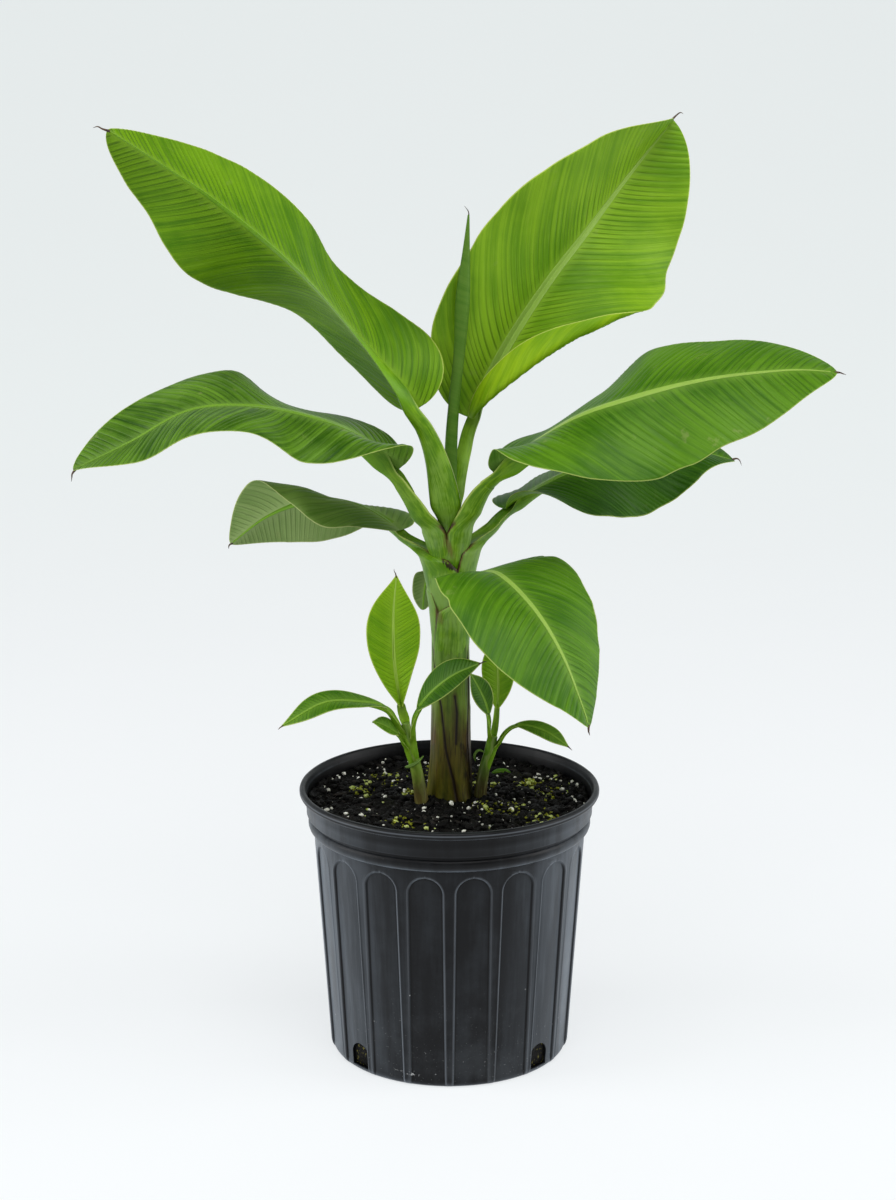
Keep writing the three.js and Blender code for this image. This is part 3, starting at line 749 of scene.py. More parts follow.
# Each leaf: the points of its stalk and of its midrib, the stalk's widths and depths, the way its
# upper side faces, how wide its halves are, and how far each half folds up and curls, in degrees,
# all from foot to tip. A lobe is how far each half reaches back at the leaf's foot, foot how much
# of its width it has there, a nick a small dent in its edge, and ridge and rib_width how high the
# midrib's channel is raised and how wide the midrib is.
LEAVES = {
    "upper_left": {
        "stalk": [[0, -10, 500], [-4, -14, 530], [-10, -17, 564], [-19, -19, 592]],
        "size": [[30, 10], [27, 10], [21, 10], [15, 10]], "rib_width": 1.25,
        "rib": [[-31, -21, 612], [-74, -30, 671], [-132, -46, 740], [-198, -62, 799],
                [-254, -72, 839], [-289, -78, 862]],
        "face": [[0.5, 0.75, 0.45], [-0.1, 0.98, 0.1], [-0.3, 0.95, -0.05], [-0.3, 0.93, -0.2]],
        "width": [62, 72, 74, 62, 40],
        "fold": [[40, 71, 75, 57, 49, 49, 55], [20, 46, 62, 47, 26, 45, 46]], "lobe": [14, 10],
    },
    "upper_right": {
        "stalk": [[3, 9, 505], [7, 12, 540], [13, 17, 569]], "size": [[17, 8], [12, 8]],
        "rib": [[21, 22, 597], [51, 37, 659], [87, 56, 714], [125, 77, 762], [165, 101, 812],
                [206, 122, 860]],
        "face": [[-0.4, -0.85, 0.35], [-0.1, -0.93, 0.36], [0.2, -0.95, 0.25], [0.15, -0.93, 0.3]],
        "width": [64, 82, 90, 80, 60],
        "fold": [[45, 43, 45, 42, 45, 58, 90], [60, 34, 24, 18, -6, -6, 0]],
        "curl": [[20, 20, 20], [0, 10, 20]], "ridge": 1.1, "rib_width": 1.45, "lobe": [6, 6],
    },
    "right": {
        "stalk": [[6, -4, 490], [14, -8, 521], [22, -12, 538], [30, -15, 548]],
        "size": [[25, 16], [23, 16], [16, 11]], "foot": [1, 0.45],
        "rib": [[39, -18.5, 556], [104, -40, 606], [159, -52, 629], [224, -62, 647],
                [293, -70, 656], [336, -74, 655]],
        "face": [[-0.57, 0.17, 0.81], [-0.3, -0.4, 0.85], [-0.2, -0.6, 0.77], [0.1, -0.5, 0.85]],
        "width": [62, 76, 78, 66, 44],
        "fold": [[28, -16, -26, -16, -19, -15, -11], [60, 10, -13, -23, -11, -9, 12]], "lobe": [8, 12],
    },
    "lower_right": {
        "stalk": [[11, 6, 452], [19, 10, 470], [29, 17, 487], [39, 26, 499]],
        "size": [[20, 11], [16, 10], [11, 8]],
        "rib": [[52, 36, 510], [81, 58, 526], [113, 80, 538], [162, 110, 547], [222, 140, 548],
                [276, 160, 532]],
        "face": [[-0.3, -0.3, 0.9], [0, -0.3, 0.95], [0.1, -0.3, 0.95], [0.3, -0.25, 0.9]],
        "width": [50, 60, 62, 52, 34],
        "fold": [[0, -28, -30, -28, -20, 0, 10], [60, -5, -23, -37, -29, 3, 25]], "lobe": [6, 8],
    },
    "front_right": {
        "stalk": [[8, -12, 446], [13, -26, 457]], "size": [[14, 9], [10, 7]],
        "rib": [[18, -42, 467], [43, -75, 475], [73, -125, 457], [96, -155, 425], [112, -170, 386],
                [119, -176, 365]],
        "face": [[-0.05, 0.3, 0.95], [0.18, -0.26, 0.95], [0.5, -0.55, 0.67], [0.85, -0.3, 0.4]],
        "width": [66, 70, 68, 56, 34],
        "fold": [[0, 9, -3, -9, -13, -5, 0], [-12, 0, -3, -11, -17, -11, 6]], "lobe": [12, 4],
        "nicks": [[(0.17, 0.012, 4)], [(0.33, 0.03, 3)]],
    },
    "middle_left": {
        "stalk": [[-7, -6, 482], [-16, -9, 506], [-26, -12.5, 529], [-36, -15.5, 545]],
        "size": [[25, 15], [21, 15], [16, 12]],
        "rib": [[-46, -19, 558], [-82, -30, 592], [-122, -42, 611], [-171, -56, 622],
                [-227, -66, 620], [-279, -72, 593], [-329, -76, 569]],
        "face": [[0.6, -0.1, 0.7], [0.31, -0.19, 0.93], [-0.36, -0.3, 0.88], [-0.4, -0.35, 0.85]],
        "width": [46, 58, 62, 54, 34], "fold": [[85, 7, -19, 3, 3, 1, 23], [30, -7, -19, 5, 3, 17, 19]],
        "lobe": [10, 6],
    },
    "lower_left": {
        "stalk": [[-14, 5, 430], [-19, 8, 447], [-25, 12, 462], [-33, 18, 478]],
        "size": [[18, 9], [16, 9], [12, 8]],
        "rib": [[-45, 28, 492], [-72, 44, 508], [-102, 58, 515], [-136, 74, 510], [-174, 90, 491],
                [-209, 104, 462]],
        "face": [[0.2, -0.2, 0.95], [0, -0.1, 1], [-0.1, 0, 1], [-0.2, 0, 1]],
        "width": [36, 46, 50, 38, 17],
        "fold": [[10, -5, -15, 10, 60, 82, 85], [5, -10, -45, -60, -65, -62, -50]],
        "curl": [[10, 20, 70, 140, 80, 20, 10], [20, 20, 20]], "lobe": [6, 30],
    },
    "old_back": {
        "stalk": [[-8, 11, 440], [-12, 19, 450]], "size": [[8, 6], [6, 4]],
        "rib": [[-16, 28, 454], [-20, 37, 449], [-23, 43, 434], [-25, 45, 412]],
        "face": [[0, -0.3, 1], [0, 0.7, 0.7], [0, 1, 0.1]], "width": [9, 11, 11, 10, 6],
        "fold": [[0, 5, 5], [0, 5, 5]], "lobe": [3, 3],
    },
}

STALK_ROWS = 80
RIB_ROWS = 120
SHEATH_ROWS = 40
HALF_RING = 24
RIB_REACH = 9.0
PLAIN_CURL = [[20, 20], [20, 20]]

# Each leaf base: the two heights between which it becomes a stalk, then rows of a height, the
# angles of its two edges round the stem, how far it stands out, and how far its middle swells.
BASES = {
    "upper_left": ((502, 528), [
        (468, -35, -167, -5.0, 0), (498, -45, -152, -2.4, 0), (516, -60, -142, -1.6, 1)]),
    "upper_right": ((506, 534), [
        (468, 140, 5, -5.0, 0), (498, 125, 20, -2.4, 0), (520, 112, 35, -1.8, 1)]),
    "right": ((498, 524), [
        (432, 110, -140, -2.6, 0), (464, 80, -120, -0.8, 1.5), (480, 66, -109, -0.3, 3),
        (498, 53, -101, 0, 7.5), (516, 24, -72, 0.2, 10)]),
    "middle_left": ((496, 520), [
        (432, -40, -260, -2.6, 0), (464, -80, -226, -0.8, 3), (480, -92, -210, -0.3, 5),
        (498, -101, -200, 0, 12.5), (512, -124, -176, 0.2, 14)]),
    "lower_right": ((478, 499), [
        (398, 170, -100, -2.2, 0), (425, 150, -82, 0.2, 1), (440, 140, -72, 1.4, 3),
        (465, 120, -66, 3.0, 7), (487, 60, -42, 3.6, 13)]),
    "lower_left": ((473, 490), [
        (398, -30, -350, -2.2, 0), (418, -44, -334, -0.4, 0), (430, -52, -326, 0.4, 0.5),
        (440, -57, -320, 1.4, 2), (465, -66, -290, 3.0, 6), (480, -112, -250, 3.6, 11)]),
    "front_right": ((434, 456), [
        (372, 60, -168, -0.9, 0), (387, 52, -158, 0, 0), (408, 38, -144, 1.0, 0.5),
        (425, 8, -127, 1.8, 2), (433, -22, -86, 2.2, 3)]),
    "old_back": ((442, 454), [
        (385, -70, -400, -0.9, 0), (400, -105, -370, 0.2, 0), (425, -127, -345, 1.4, 1),
        (439, -140, -322, 3.8, 1), (452, -158, -290, 4.4, 2)]),
}

# The scars at the notches: from where to where, how wide, how strong and of what colour.
SCARS = [
    ((-3, -14.5, 495), (4, -20, 471), 4.0, 0.6, (100, 78, 40)),
    ((6.5, -19, 466), (-1, -20.5, 470), 2.6, 0.95, (26, 18, 10)),
    ((-1, -20.5, 470), (-9, -18.5, 478), 1.9, 0.9, (40, 28, 14)),
    ((6.5, -19, 466), (13, -15.5, 485), 1.8, 0.8, (84, 58, 30)),
    ((1, -19.5, 480), (3.5, -20, 470), 1.6, 0.9, (40, 28, 14)),
    ((-3, -14, 499), (-2.5, -15, 494), 2.2, 0.9, (44, 28, 14)),
    ((-12, -15.5, 426), (-14, -14, 410), 2.6, 0.85, (56, 38, 16)),
    ((-14, -14, 410), (-15.5, -11.5, 394), 2.2, 0.8, (56, 38, 16)),
    ((-12, -15.5, 426), (-9, -17, 418), 5.0, 0.5, (92, 72, 36)),
]

# Places round a stalk: over its underside from left to right, then back over its channel.
half_ring = np.sin(np.linspace(-math.pi / 2, math.pi / 2, HALF_RING + 1))
ACROSS = np.r_[half_ring, half_ring[::-1][1:]]
UNDER = np.r_[np.ones(HALF_RING + 1), np.zeros(HALF_RING)]


class Course:
    """The line of one leaf, from the foot of its stalk to its tip."""

    def __init__(self, leaf):
        points = leaf["stalk"] + leaf["rib"]
        share = np.linspace(0, 1, 801)
        steps = np.linalg.norm(np.diff(curve_at(points, share), axis=0), axis=1)
        self.points = points
        self.share = share
        self.run = np.r_[0, np.cumsum(steps)]
        self.length = self.run[-1]
        self.rib = leaf.get("rib_width", 1.0)
        self.foot = np.interp(len(leaf["stalk"]) / (len(points) - 1), share, self.run) / self.length
        self.blade = self.length * (1 - self.foot)

    def at(self, part):
        """Places and headings at parts of the whole length."""
        share = np.interp(np.asarray(part) * self.length, self.run, self.share)
        ahead = curve_at(self.points, np.clip(share + 1e-4, 0, 1))
        behind = curve_at(self.points, np.clip(share - 1e-4, 0, 1))
        return curve_at(self.points, share), unit(ahead - behind)


def across_and_up(heading, face):
    """The directions to a leaf's left and out of its upper side."""
    left = unit(np.cross(face, heading))
    return left, np.cross(heading, left)


def rib_half(course, u):
    """Half the width of the midrib at a part of the blade's length."""
    return course.rib * (0.014 * course.blade * (1 - u) + 0.6)


def half_section(leaf, side, u, reach, margin):
    """How far out and up one half of a leaf lies, at a distance from its midrib."""
    fold = np.radians(value_at(leaf["fold"][side], u))
    curl = np.radians(value_at(leaf.get("curl", PLAIN_CURL)[side], u)) / 2
    start = fold + curl
    bend = -2 * curl / margin
    bend = np.where(np.abs(bend) < 1e-6, 1e-6, bend)
    slope = start + bend * reach
    return (np.sin(slope) - np.sin(start)) / bend, (np.cos(start) - np.cos(slope)) / bend


def blade_margin(leaf, course, u):
    """The distance from the midrib's middle to the leaf's edge."""
    foot_power, foot_root, tip_power, tip_root = leaf.get("ends", (8, 0.5, 8, 0.6))
    foot = (1 - (1 - u) ** foot_power) ** foot_root
    tip = (1 - np.minimum(u, 1) ** tip_power) ** tip_root
    return rib_half(course, u) + value_at(leaf["width"], u) * foot * tip


def stalk_rings(leaf, course, part, turn):
    """Crescents along the stalk, for parts below nothing straight on down from its foot."""
    places, heading = course.at(course.foot * np.maximum(part, 0))
    places = places + heading * (np.minimum(part, 0) * course.foot * course.length)[:, None]
    inward = [-math.cos(turn), -math.sin(turn), 0]
    left, up = across_and_up(heading, curve_at([inward, leaf["face"][0]], ease(part, 0, 1)))
    size = curve_at(leaf["size"], part)
    belly = np.sqrt(np.maximum(1 - ACROSS**2, 0))
    drop = np.where(UNDER > 0, 0.05 + 0.95 * belly, 0.05 + 0.34 * belly**1.4)
    return (
        places[:, None] - left[:, None] * (ACROSS[:, None] * size[:, None, :1] / 2)
        - up[:, None] * (drop[:, None] * size[:, None, 1:2])
    )


def rib_rings(leaf, course, u):
    """Crescents along the blade, whose channel follows the fold of the leaf."""
    places, heading = course.at(course.foot + (1 - course.foot) * u)
    left, up = across_and_up(heading, curve_at(leaf["face"], u))
    half, margin = rib_half(course, u), blade_margin(leaf, course, u)
    first, second = (np.radians(value_at(leaf["fold"][side], u)) for side in (0, 1))
    lean = (np.sin(second) - np.sin(first)) / 2
    rest = (np.cos(first) + np.cos(second)) / 2 + 0.05
    normal = unit(left * lean[:, None] + up * rest[:, None])
    depth = (leaf["size"][1][1] - 1.2) * (1 - u) ** 1.3 + 1.2
    rings = []
    for share, below in zip(ACROSS, UNDER):
        side, sign = (0, 1) if share < 0 else (1, -1)
        out, rise = half_section(leaf, side, u, half * abs(share), margin)
        belly = math.sqrt(max(1 - share * share, 0))
        lip = -0.35 - leaf.get("ridge", 0.5) * belly**0.5 * (1 - 0.45 * belly**4)
        drop = depth * belly if below else np.full_like(u, lip)
        rings.append(places + left * (sign * out)[:, None] + up * rise[:, None] - normal * drop[:, None])
    return np.stack(rings, axis=1)


def sheath_rings(base, height, centre, radius):
    """Arcs round the stem, a leaf base between its two edges, and how long half an arc is."""
    rows = np.array(base).T
    first, second, proud, swell = (np.interp(height, rows[0], row) for row in rows[1:])
    middle, half = np.radians(first + second) / 2, np.radians(first - second) / 2
    belly = np.sqrt(np.maximum(1 - np.abs(ACROSS) ** 3, 0))
    angle = middle[:, None] - ACROSS * half[:, None]
    swollen = swell[:, None] * (1 - ACROSS**2)
    ring = (radius + proud)[:, None] + np.where(UNDER > 0, 0.7 * belly - 0.7 + swollen, -2.8)
    spots = [centre[:, :1] + ring * np.cos(angle), centre[:, 1:2] + ring * np.sin(angle)]
    return np.stack(spots + [height[:, None] + 0 * ring], axis=-1), half * radius


def stalk_skin(name, leaf, base, joint, turn, axis):
    """One leaf base, stalk and midrib in one skin."""
    course = Course(leaf)
    foot_level = leaf["stalk"][0][2]
    foot_run = course.foot * course.length
    low = np.linspace(base[0][0], foot_level, SHEATH_ROWS, endpoint=False)
    part = np.linspace(0, 1, STALK_ROWS, endpoint=False)
    u = np.linspace(0, 0.985, RIB_ROWS) ** 1.15
    parts = np.r_[(low - foot_level) / foot_run, part]
    height = np.r_[low, course.at(course.foot * part)[0][:, 2]]
    sheath, arc = sheath_rings(base, height, *axis(height))
    weight = ease(np.maximum.accumulate(height), *joint)
    weight[len(low):] = np.maximum(weight[len(low):], ease(part, 0.74, 1.0))
    lower = sheath + (stalk_rings(leaf, course, parts, turn) - sheath) * weight[:, None, None]
    last = stalk_rings(leaf, course, np.array([1.0]), turn)
    shift = course.at(course.foot + (1 - course.foot) * u)[0] - course.at(np.array([course.foot]))[0]
    fade = (1 - ease(u, 0, 0.07))[:, None, None]
    ribs = rib_rings(leaf, course, u) * (1 - fade) + (last + shift[:, None]) * fade
    piece = skin(name, np.concatenate([lower, ribs]))
    run = np.r_[(parts - 1) * foot_run, u * course.blade][:, None] * MM
    keep_values(piece, "stalk", run, ACROSS, UNDER)
    grip = np.r_[weight, np.ones(RIB_ROWS)][:, None]
    reach = np.r_[arc + (leaf["size"][0][0] / 2 - arc) * weight, np.full(RIB_ROWS, RIB_REACH)][:, None]
    keep_values(piece, "grip", grip, reach * (1 - np.abs(ACROSS)) * MM)
    return piece


def scarred(place, colour, tall, fine):
    """Draws the brown and black scars of the notches where two leaf bases part."""
    ragged = (tall - 0.5) * 0.006 + (fine - 0.5) * 0.006
    for start, end, width, share, stain in SCARS:
        line = from_line(place, Vector(start) * MM, Vector(end) * MM)
        beside = 1 - (line + ragged).step(width * 0.4 * MM, width * MM)
        colour = (beside * share).colours(colour, stain)
    return colour


def stalk_finish(name, dark, light, rib_light, bloom_share, ageing=1.0):
    """A waxy green stalk, finely lined along its length, with thin pale edges and a pale midrib."""
    material, wire = new_finish(name)
    place = object_place(wire)
    run, width, under = attribute(wire, "stalk")
    grip, margin = attribute(wire, "grip")[:2]
    lines = wire.node("ShaderNodeCombineXYZ", None, {0: run * 0.05, 1: width * 0.012, 2: under * 0.1})
    fibres = lines.noise(1100, 3.0, 0.6)
    tall = place.noise(190, 4.0, 0.6, (1, 1, 0.05))
    fine = place.noise(620, 3.0, 0.6, (1, 1, 0.04))
    cloud = place.noise(36, 4.0, 0.55)
    green = (cloud * 0.5 + fibres * 0.5).step(0.4, 0.62).colours(dark, light)
    sheathed = aged(place, green, tall, fine, cloud)[0]
    base = ((1 - grip.step(0.0, 0.8)) * ageing).colours(green, sheathed)
    bloom = (cloud * 0.7 + fibres * 0.3).step(0.48, 0.58) * (1 - run.step(-0.05, 0.0)) * bloom_share
    dusty = (bloom * 0.6).colours(base, (120, 148, 92))
    on_rib = run.step(-0.012, 0.03)
    channel = (1 - under) * on_rib
    keel = under * on_rib * (1 - width.size().step(0.65, 1.0))
    keeled = (keel * 0.75).colours(dusty, (104, 152, 18))
    ribbed = (channel * 0.85).colours(keeled, rib_light)
    edge = width.size().step(0.985, 0.999) * (1 - on_rib) * grip.step(0.25, 0.9)
    pale = (edge * 0.7).colours(ribbed, (190, 206, 110))
    ragged = margin + (fine - 0.5) * 0.0022 + (cloud - 0.5) * 0.003
    browned = (1 - ragged.step(0.0007, 0.0018)) * (1 - grip.step(0.25, 0.6)) * (ageing * 0.85)
    dried = browned.colours(pale, (92, 66, 34))
    crease = (1 - ragged.step(0.0002, 0.0009)) * (1 - grip.step(0.2, 0.5)) * (ageing * 0.85)
    inked = crease.colours(dried, (34, 20, 10))
    colour = scarred(place, inked, tall, fine)
    show(wire, coat(wire, colour, bloom * 0.2 + 0.4, relief(fibres, 0.3, 0.0008), 0.22))
    return material


stalk_green = stalk_finish("stalk_green", (74, 118, 4), (118, 158, 22), (142, 174, 76), 0.3)
stalk_dull = stalk_finish("stalk_dull", (72, 116, 4), (114, 154, 22), (106, 146, 42), 0.3)
for name, leaf in LEAVES.items():
    joint, base = BASES[name]
    turn = math.atan2(leaf["stalk"][0][1], leaf["stalk"][0][0])
    stalk = stalk_skin("stalk_" + name, leaf, base, joint, turn, main_stem_at)
    pale_rib = name in ("upper_right", "right", "front_right")
    finish_skin(stalk, [stalk_green if pale_rib else stalk_dull], ["leafstalk_" + name])


# Leaf blades
# Thin and pleated: fine veins run from the midrib to the edge, bending towards the tip. The upper side is
# glossy, the underside paler and duller, and a thin pale line follows the edge. Light and shade are painted
# into the tissues: lighter or darker greens by leaf, shade in the grooves and sheen in grey patches.

BLADE_ROWS = 330
BLADE_HALF = 34
THICK = 0.55
SHINE_THROUGH = 0.2
VEIN_SLANT = 0.6
VEIN_BEND = 0.0035
# Each blade: its tissue, most of them lighter or darker with painted light and shade, how far apart its
# pleats are, how much they sink and how high its waves are.
BLADES = {
    "upper_left": ("deep_painted_shade", 6.8, 0.75, 1.2), "upper_right": ("bright", 6.6, 0.42, 2.2),
    "right": ("mid", 7.6, 0.42, 1.6), "lower_right": ("deep_painted_shade", 7.0, 0.4, 3.2),
    "front_right": ("mid", 7.6, 0.34, 2.4), "middle_left": ("mottled_painted_shade", 7.0, 0.45, 2.0),
    "lower_left": ("pale", 6.2, 0.3, 1.4), "old_back": ("pale", 4.0, 0.12, 0.5),
}
# A folded-over edge: the side, how far it turns in degrees, and from what share of the way to the
# edge it turns, at even steps from the foot of the blade to its tip.
FOLDED_EDGES = {
    "blade_upper_right": (1, 160, [0.56, 0.58, 0.66, 0.82, 0.99, 1.2, 1.2, 1.2, 1.2]),
}


def grid_normals(points):
    """The direction square to a sheet at each of its grid points."""
    along = np.gradient(points, axis=0)
    across = np.gradient(points, axis=1)
    square = np.cross(across, along)
    return square / np.maximum(np.linalg.norm(square, axis=-1, keepdims=True), 1e-9)


def half_sheet(leaf, name, side, u, margin, shares):
    """How far out and up one half lies, at each share of the way to its edge."""
    fold = np.radians(value_at(leaf["fold"][side], u))[:, None]
    curl = np.radians(value_at(leaf.get("curl", PLAIN_CURL)[side], u))[:, None] / 2
    slope = fold + curl - 2 * curl * shares
    folded_side, turn, starts = FOLDED_EDGES.get(name, (2, 0, [1, 1]))
    if folded_side == side:
        start = value_at(starts, u)[:, None]
        slope = slope + math.radians(turn) * ease(shares - start, -0.08, 0.12)
    step = np.diff(shares) * margin[:, None]
    middle = (slope[:, 1:] + slope[:, :-1]) / 2
    runs = (np.cumsum(way(middle) * step, axis=1) for way in (np.cos, np.sin))
    return [np.pad(run, ((0, 0), (1, 0))) for run in runs]


def across_both(halves):
    """One array over both halves, from the left edge over the midrib to the right edge."""
    return np.concatenate([halves[0][:, :0:-1], halves[1]], axis=1)


def wrapped(over, under):
    """One array round a blade: over its upper side, back over its underside, and closed."""
    return np.concatenate([over, under[:, ::-1], over[:, :1]], axis=1)


def blade_skin(name, leaf, rows, half_columns, pleat, seed):
    """A leaf blade as a thin closed skin, pleated and waved, and which of its faces lie below."""
    course = Course(leaf)
    spacing, depth, wave = pleat
    even = np.linspace(0.02, 0.995, rows)
    u = 0.35 * (1 - np.cos(np.pi * even)) / 2 + 0.65 * even
    u = (u - u[0]) / (u[-1] - u[0]) * 0.9985 + 0.001
    places, heading = course.at(course.foot + (1 - course.foot) * u)
    left, up = across_and_up(heading, curve_at(leaf["face"], u))
    margin = blade_margin(leaf, course, u)
    shares = np.linspace(0, 1, half_columns + 1)
    shares = shares * (1.2 - 0.2 * shares)
    halves, spans, edges = [], [], []
    for side, sign in ((0, 1), (1, -1)):
        edge = margin * leaf.get("foot", [1, 1])[side] ** (1 - ease(u, 0, 0.16))
        ripple = noise_over(u * course.blade / 26, seed + 9 * side, 5)
        edge = edge * (1 + 0.03 * ripple * ease(u, 0.05, 0.2))
        for spot, width, dip in leaf.get("nicks", ((), ()))[side]:
            edge = edge - dip * np.exp(-(((u - spot) / width) ** 2))
        out, rise = half_sheet(leaf, name, side, u, edge, shares)
        reach = edge[:, None] * shares
        lobe = leaf.get("lobe", (0, 0))[side] * ((1 - u) ** 4)[:, None]
        back = lobe * (reach / leaf["width"][1]) ** 2
        steps = ((left, sign * out), (up, rise), (heading, -back))
        halves.append(places[:, None] + sum(way[:, None] * far[..., None] for way, far in steps))
        spans.append(reach * -sign)
        edges.append(edge[:, None] - reach)
    sheet, span, edge = (across_both(pair) for pair in (halves, spans, edges))
    far, run = np.abs(span), (u * course.blade)[:, None]
    off_rib = far - rib_half(course, u)[:, None]
    vein = run - VEIN_SLANT * far - VEIN_BEND * span**2
    field = seed + np.where(span > 0, 40, 0)
    phase = vein / spacing + 1.3 * noise_over(vein / 30, far / 300, field)
    drift = noise_over(vein / 21, far / 40, field + 3)
    broad = noise_over(run / 44, span / 70, field + 7)
    bulge = 0.5 - np.abs(np.cos(np.pi * phase)) ** 1.5
    height = depth * bulge * (1.1 + drift) + wave * broad * (span / margin[:, None]) ** 2
    height = height * ease(off_rib, 0, 4) * ease(u, 0, 0.05)[:, None] * (0.25 + 0.75 * ease(edge, 0, 4))
    normal = grid_normals(sheet)
    middle = sheet + normal * height[..., None]
    half_thick = normal * (THICK / 2 * (0.35 + 0.65 * ease(edge, 0, 3)))[..., None]
    piece = skin(name, wrapped(middle + half_thick, middle - half_thick))
    apart = np.where(span > 0, 0.7, 0.0)
    veins = (vein * MM + apart, far * MM, phase)
    keep_values(piece, "vein", *(wrapped(value, value) for value in veins))
    keep_values(piece, "place", *(wrapped(value * MM, value * MM) for value in (edge, off_rib)))
    column = np.arange(len(piece.data.polygons)) % (2 * span.shape[1])
    return piece, (column > 2 * half_columns).astype(np.int32)


def blade_finish(name, dark, light, vein_colour, edge_colour, glow, wear_and_sheen_share, gloss, groove_shade_share):
    """Leaf tissue: slanting grooves darkened with painted shade, fine veins, lighter by the midrib, greyed
    patches of wear and painted sheen, and a pale thin edge.
    """
    material, wire = new_finish(name)
    place = object_place(wire)
    vein, span, phase = attribute(wire, "vein")
    edge, off_rib = attribute(wire, "place")[:2]
    lines = wire.node("ShaderNodeCombineXYZ", None, {0: vein, 1: span * 0.03, 2: 0.0})
    fine = lines.noise(1300, 2.0, 0.6)
    bands = lines.noise(150, 3.0, 0.6)
    cloud = place.noise(13, 4.0, 0.55)
    to_groove = (phase.math("FRACT") - 0.5).size() * 2
    uneven = (bands * 0.4 + cloud * 0.8).step(0.4, 0.75) * 0.6 + 0.4
    fading = 1 - off_rib.step(0.008, 0.06) * 0.8
    groove = to_groove.step(0.62, 0.98) * uneven * fading * off_rib.step(0.0, 0.004)
    tissue = (bands * 0.5 + cloud * 0.5).step(0.38, 0.62).colours(dark, light)
    lined = (fine.step(0.5, 0.7) * 0.3).colours(tissue, vein_colour)
    by_rib = ((1 - off_rib.step(0.0, 0.01)) * 0.35).colours(lined, vein_colour)
    # The grooves between the pleats are darkened: painted shade.
    groove_shaded = (groove * groove_shade_share).colours(by_rib, (34, 70, 2))
    # Grey-green patches, partly wear and partly a painted sheen.
    worn = place.noise(60, 5.0, 0.65).step(0.6, 0.7) * cloud.step(0.45, 0.6) * wear_and_sheen_share
    dulled = worn.colours(groove_shaded, (150, 160, 96))
    colour = ((1 - edge.step(0.0004, 0.0013)) * 0.75).colours(dulled, edge_colour)
    grooves = relief(fine * 0.14 + bands * 0.3 - groove * 0.55, 0.55, 0.0016)
    upper = coat(wire, colour, bands * 0.14 + gloss, grooves, 0.17)
    through = wire.node("ShaderNodeBsdfTranslucent", None, {"Color": paint(*glow)})
    show(wire, wire.node("ShaderNodeMixShader", None, {0: SHINE_THROUGH, 1: upper, 2: through}))
    return material


# Each tissue, its upper side and then its underside: its dark, light, vein and edge colours, the colour that
# shines through it, then how much of it is greyed by wear and painted sheen, how rough it is and how strong
# the painted shade in its grooves is. Most tissues are one leaf green made lighter or darker as painted
# light and shade: bright and young for leaves in full light, mid between, the deep one for leaves in shade,
# and the mottled one with dark blotches of painted shade; pale is the own colour of old leaves.
FINISHES = {
    # A lighter copy for a leaf in full light: painted light.
    "bright": (
        ((90, 136, 10), (130, 172, 28), (156, 192, 62), (206, 218, 116), (130, 180, 10), 0.12, 0.4, 0.55),
        ((110, 156, 4), (148, 186, 16), (168, 202, 60), (204, 216, 110), (140, 190, 6), 0.1, 0.46, 0.4),
    ),
    # A lighter copy for the upright sucker leaves, which are also young: painted light.
    "young": (
        ((98, 148, 4), (132, 178, 16), (154, 194, 50), (200, 214, 100), (140, 190, 4), 0.05, 0.4, 0.2),
        ((104, 150, 12), (138, 180, 26), (160, 198, 70), (200, 214, 100), (140, 190, 10), 0.05, 0.5, 0.2),
    ),
    "mid": (
        ((56, 104, 4), (92, 140, 22), (124, 164, 58), (190, 208, 110), (90, 150, 4), 0.35, 0.36, 0.5),
        ((76, 120, 30), (108, 148, 52), (134, 168, 82), (186, 204, 110), (100, 160, 12), 0.2, 0.5, 0.45),
    ),
    # A darker copy for leaves in shade: painted shade.
    "deep_painted_shade": (
        ((36, 80, 0), (60, 108, 6), (98, 142, 38), (180, 198, 100), (76, 134, 4), 0.3, 0.38, 0.5),
        ((72, 120, 0), (110, 156, 8), (138, 178, 44), (186, 202, 96), (100, 156, 0), 0.1, 0.44, 0.62),
    ),
    # Dark blotches of painted shade and more grey painted sheen.
    "mottled_painted_shade": (
        ((40, 80, 4), (100, 144, 36), (124, 160, 74), (190, 208, 110), (84, 140, 4), 0.5, 0.32, 0.6),
        ((72, 116, 20), (108, 150, 44), (134, 170, 78), (186, 204, 110), (100, 160, 8), 0.2, 0.48, 0.45),
    ),
    "pale": (
        ((84, 122, 40), (118, 150, 66), (150, 176, 100), (206, 216, 140), (110, 160, 30), 0.3, 0.46, 0.4),
        ((116, 148, 76), (146, 172, 102), (168, 190, 126), (208, 218, 150), (120, 160, 40), 0.25, 0.52, 0.4),
    ),
}
TISSUE = {
    key: [blade_finish(key + "_" + side, *values) for side, values in zip(("upper", "under"), pair)]
    for key, pair in FINISHES.items()
}
for seed, (name, (tissue, *pleat)) in enumerate(BLADES.items()):
    blade, sides = blade_skin("blade_" + name, LEAVES[name], BLADE_ROWS, BLADE_HALF, pleat, seed * 3.7)
    finish_skin(blade, TISSUE[tissue], ["leaf_" + name], sides)


# Rolled leaf
# The next leaf comes up out of the middle of the stem as a tight roll, with its outer edge lying
# along it as a seam, and a thin thread at its tip.

ROLLED_PATH = [
    [0, 0, 500], [1, 0, 572], [4, 1, 618], [9, 3, 664], [12, 4, 708], [15, 6, 750], [17, 8, 783],
]
ROLLED_RADII = [6.2, 5.8, 5.2, 5.2, 6.2, 3.2, 0.8]
ROLLED_ROWS = 220
ROLLED_COLUMNS = 64


